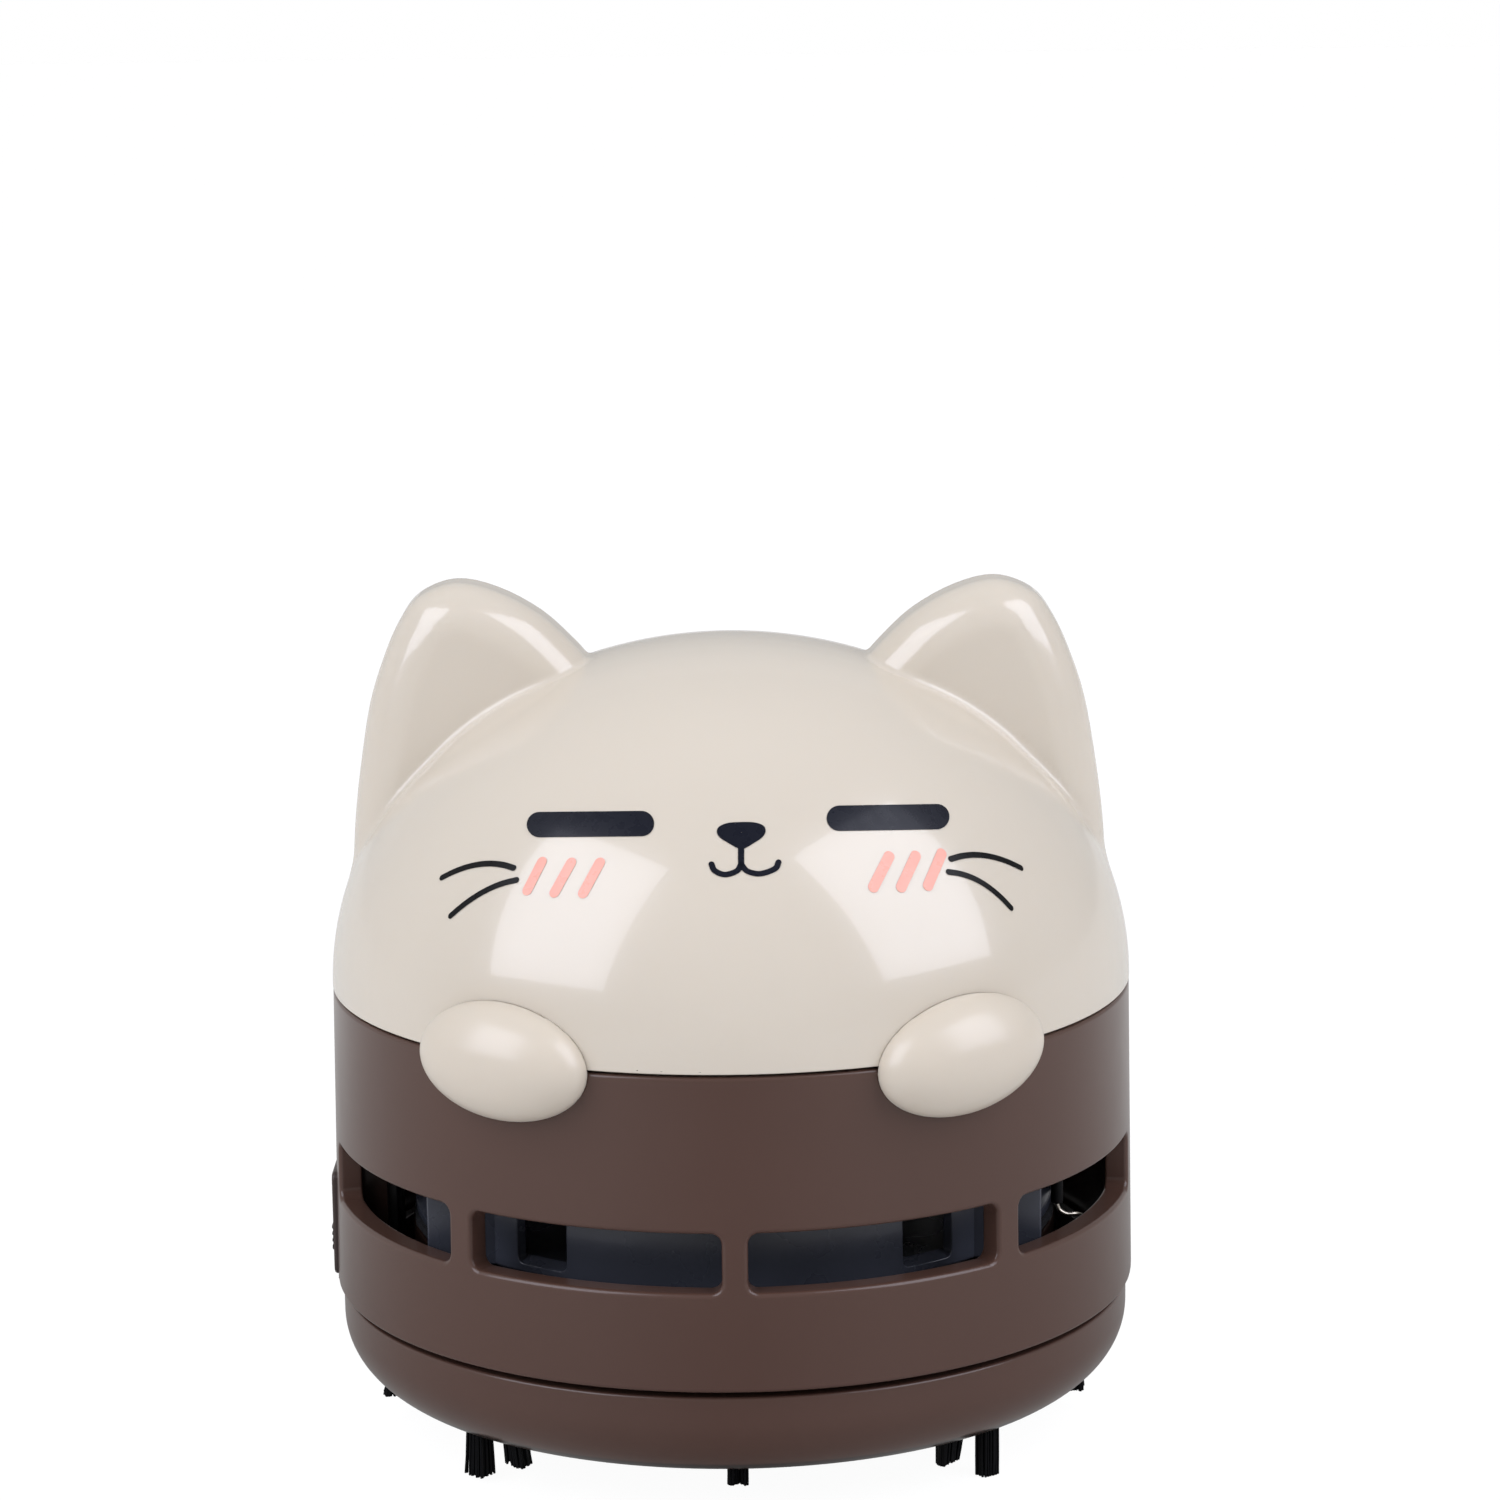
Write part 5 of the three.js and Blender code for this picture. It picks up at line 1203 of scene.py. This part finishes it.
# Pieces that keep the CAD's form, with softened edges
def softened(node, name, material, slot, width):
    source = frame["nodes"][node]
    mesh = source.data.copy()
    mesh.name = name
    made = bmesh.new()
    made.from_mesh(mesh)
    bmesh.ops.remove_doubles(made, verts=made.verts, dist=1e-6)
    bmesh.ops.dissolve_limit(made, angle_limit=math.radians(2), verts=made.verts, edges=made.edges)
    for f in made.faces:
        f.smooth = True
    made.to_mesh(mesh)
    made.free()
    rough = bpy.data.objects.new(name + "_rough", mesh)
    bpy.context.scene.collection.objects.link(rough)
    rough.matrix_world = source.matrix_world
    bevel = rough.modifiers.new("edges", "BEVEL")
    bevel.width = width * MM
    bevel.segments = 2
    bevel.limit_method = "ANGLE"
    bevel.angle_limit = math.radians(40)
    bevel.harden_normals = True
    made = bpy.data.meshes.new_from_object(rough.evaluated_get(bpy.context.evaluated_depsgraph_get()))
    made.transform(rough.matrix_world)
    bpy.data.objects.remove(rough)
    made.name = name
    body = next(b for b, nodes in frame["record"]["behaviour"]["bodies"].items() if node in nodes)
    return settle(bpy.data.objects.new(name, made), material, body, slot, node)


for node, name, width in (
    ("battery_tray", "cell_tray", 0.3), ("impeller", "fan_wheel", 0.15),
    ("filter_frame", "filter_ring", 0.2), ("switch_block", "switch_case", 0.2),
):
    softened(node, name, black, "black_plastic", width)
for node in (
    "contact_plus", "contact_minus", "contact_bridge", "motor_terminal_1", "motor_terminal_2",
    "switch_pin_1", "switch_pin_2",
):
    softened(node, node + "_plated", nickel, "nickel_plate", 0.06)


# CAD nodes that stay as they are
LOOKS = {
    "filter_net": net, "cup_seal": foam, "motor_shaft": steel, "motor_rotor": windings,
    "motor_magnet_1": ferrite, "motor_magnet_2": ferrite,
    **{f"housing_screw_{i}": steel for i in (1, 2, 3)},
    **{f"{kind}_screw_{i}": steel for kind in ("motor", "tray") for i in (1, 2)},
}
for node, look in LOOKS.items():
    for place in frame["nodes"][node].material_slots:
        place.material = look


# Floor, world and lamps
def tones(nodes, value, stops):
    """Grey tones by a value, at places on a colour ramp."""
    ramp = nodes.add("ValToRGB", {"Fac": value})
    elements = ramp.color_ramp.elements
    while len(elements) < len(stops):
        elements.new(0.5)
    for element, (position, tone) in zip(elements, stops):
        element.position = position
        element.color = (tone, tone, tone, 1)
    return ramp.outputs["Color"]


def stage_material():
    """To the camera a clear pane over white, with a faint shadow. Grey to everything else, and as gloss
    mirrors it darker in front, and darker close to the object as painted shade."""
    made = bpy.data.materials.new("white_stage")
    nodes = Nodes(made)
    nodes.tree.nodes.clear()
    path = nodes.add("LightPath")
    place = nodes.add("TexCoord").outputs["Object"]
    split = nodes.add("SeparateXYZ", {"Vector": place})
    aside = nodes.add("Math", {0: split.outputs["X"]}, "ABSOLUTE")
    ahead = nodes.add("Math", {0: split.outputs["Y"], 1: -1}, "MULTIPLY")
    azimuth = nodes.add("Math", {0: aside.outputs[0], 1: ahead.outputs[0]}, "ARCTAN2")
    share = nodes.add("Math", {0: azimuth.outputs[0], 1: math.pi}, "DIVIDE")
    distance = nodes.add("VectorMath", {0: place}, "LENGTH")
    # Painted shade: the floor that gloss mirrors is dimmed close to the object, where the object would
    # shade it
    painted_shade_near = nodes.add("MapRange", {
        "Value": distance.outputs["Value"], "From Min": 0.055, "From Max": 0.2, "To Min": 0.56,
    })
    dim = nodes.add("Emission", {
        "Color": tones(nodes, share.outputs[0], ((0.02, 0.3), (0.18, 0.64), (0.55, 0.62), (0.85, 0.72))),
        "Strength": painted_shade_near.outputs["Result"],
    })
    plain = nodes.add("BsdfDiffuse", {"Color": (0.8, 0.8, 0.8, 1)})
    mirrored_or_lit = nodes.add("MixShader", {
        "Fac": path.outputs["Is Glossy Ray"], 1: plain.outputs[0], 2: dim.outputs[0],
    })
    clear = nodes.add("BsdfTransparent", {"Color": (0.96, 0.96, 0.96, 1)})
    faint = nodes.add("BsdfDiffuse", {"Color": (0.1, 0.1, 0.1, 1)})
    pane = nodes.add("AddShader", {0: clear.outputs[0], 1: faint.outputs[0]})
    shown = nodes.add("MixShader", {
        "Fac": path.outputs["Is Camera Ray"], 1: mirrored_or_lit.outputs[0], 2: pane.outputs[0],
    })
    nodes.add("OutputMaterial", {"Surface": shown.outputs[0]})
    return made


def add_floor():
    count, reach = 24, 6.0
    ticks = [-reach + 2 * reach * i / count for i in range(count + 1)]
    starts = [i * (count + 1) + j for i, j in product(range(count), repeat=2)]
    mesh = bpy.data.meshes.new("floor")
    mesh.from_pydata(
        [(x, y, 0) for x, y in product(ticks, repeat=2)], [],
        [(a, a + count + 1, a + count + 2, a + 1) for a in starts],
    )
    floor = bpy.data.objects.new("floor", mesh)
    floor.data.materials.append(stage_material())
    bpy.context.scene.collection.objects.link(floor)
    floor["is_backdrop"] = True


def add_world():
    """White to the camera. To everything else a grey room, toned from front to back and darker to the
    right."""
    world = bpy.data.worlds.new("studio")
    bpy.context.scene.world = world
    nodes = Nodes(world)
    nodes.tree.nodes.clear()
    path = nodes.add("LightPath")
    split = nodes.add("SeparateXYZ", {"Vector": nodes.add("TexCoord").outputs["Generated"]})
    half = nodes.add("MapRange", {"Value": split.outputs["Y"], "From Min": -1, "From Max": 1})
    stops = ((0.42, 0.44), (0.62, 0.76), (0.875, 0.7), (0.905, 0.8), (0.95, 0.7), (1, 0.58))
    shade = nodes.add("MapRange", {
        "Value": split.outputs["X"], "From Min": 0.2, "From Max": 0.8, "To Min": 0.8, "To Max": 0.54,
    })
    room = nodes.add("Background", {
        "Color": tones(nodes, half.outputs["Result"], stops), "Strength": shade.outputs["Result"],
    })
    white = nodes.add("Background", {"Color": (1, 1, 1, 1)})
    mix = nodes.add("MixShader", {
        "Fac": path.outputs["Is Camera Ray"], 1: room.outputs[0], 2: white.outputs[0],
    })
    nodes.add("OutputWorld", {"Surface": mix.outputs[0]})


SOFTBOX_DISTANCE, SOFTBOX_RADIANCE, SOFTBOX_AIM = 900, 3.7, (0, -20.0, 60.0)
SOFTBOX_COLOUR = (0.86, 0.88, 1.0)


def add_softbox(name, quad):
    """A lamp where the dome mirrors it at four pixels of the photograph, clockwise from the top left."""
    ends = []
    for x, y in quad:
        p, d = behind_pixel(x, y), pixel_ray(x, y)
        n = dome_normal(p)
        ends.append(p + (d - 2 * (d @ n) * n) * SOFTBOX_DISTANCE)
    centre = np.mean(ends, 0)
    span = ends[1] + ends[2] - ends[0] - ends[3]
    rise = ends[0] + ends[1] - ends[2] - ends[3]
    facing = unit(np.array(SOFTBOX_AIM) - centre)
    across = unit(span)
    across = unit(across - (across @ facing) * facing)
    upwards = np.cross(across, facing)
    data = bpy.data.lights.new(name, "AREA")
    data.shape = "RECTANGLE"
    data.size, data.size_y = abs(span @ across) / 2 * MM, abs(rise @ upwards) / 2 * MM
    data.energy = SOFTBOX_RADIANCE * math.pi * data.size * data.size_y
    data.color = SOFTBOX_COLOUR
    lamp = bpy.data.objects.new(name, data)
    turn = Matrix((across, upwards, -facing)).transposed()
    lamp.matrix_world = Matrix.Translation(Vector(centre) * MM) @ turn.to_4x4()
    lamp.visible_camera = False
    bpy.context.scene.collection.objects.link(lamp)


add_floor()
add_world()
add_softbox("softbox_left", ((551, 842), (677, 858), (604, 1003), (488, 960)))
add_softbox("softbox_right", ((797, 850), (896, 803), (988, 950), (876, 988)))

sizes = {"cad_box": cad_box, "visual_box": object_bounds()}
{k: [[float(v) for v in corner] for corner in box_] for k, box_ in sizes.items()}
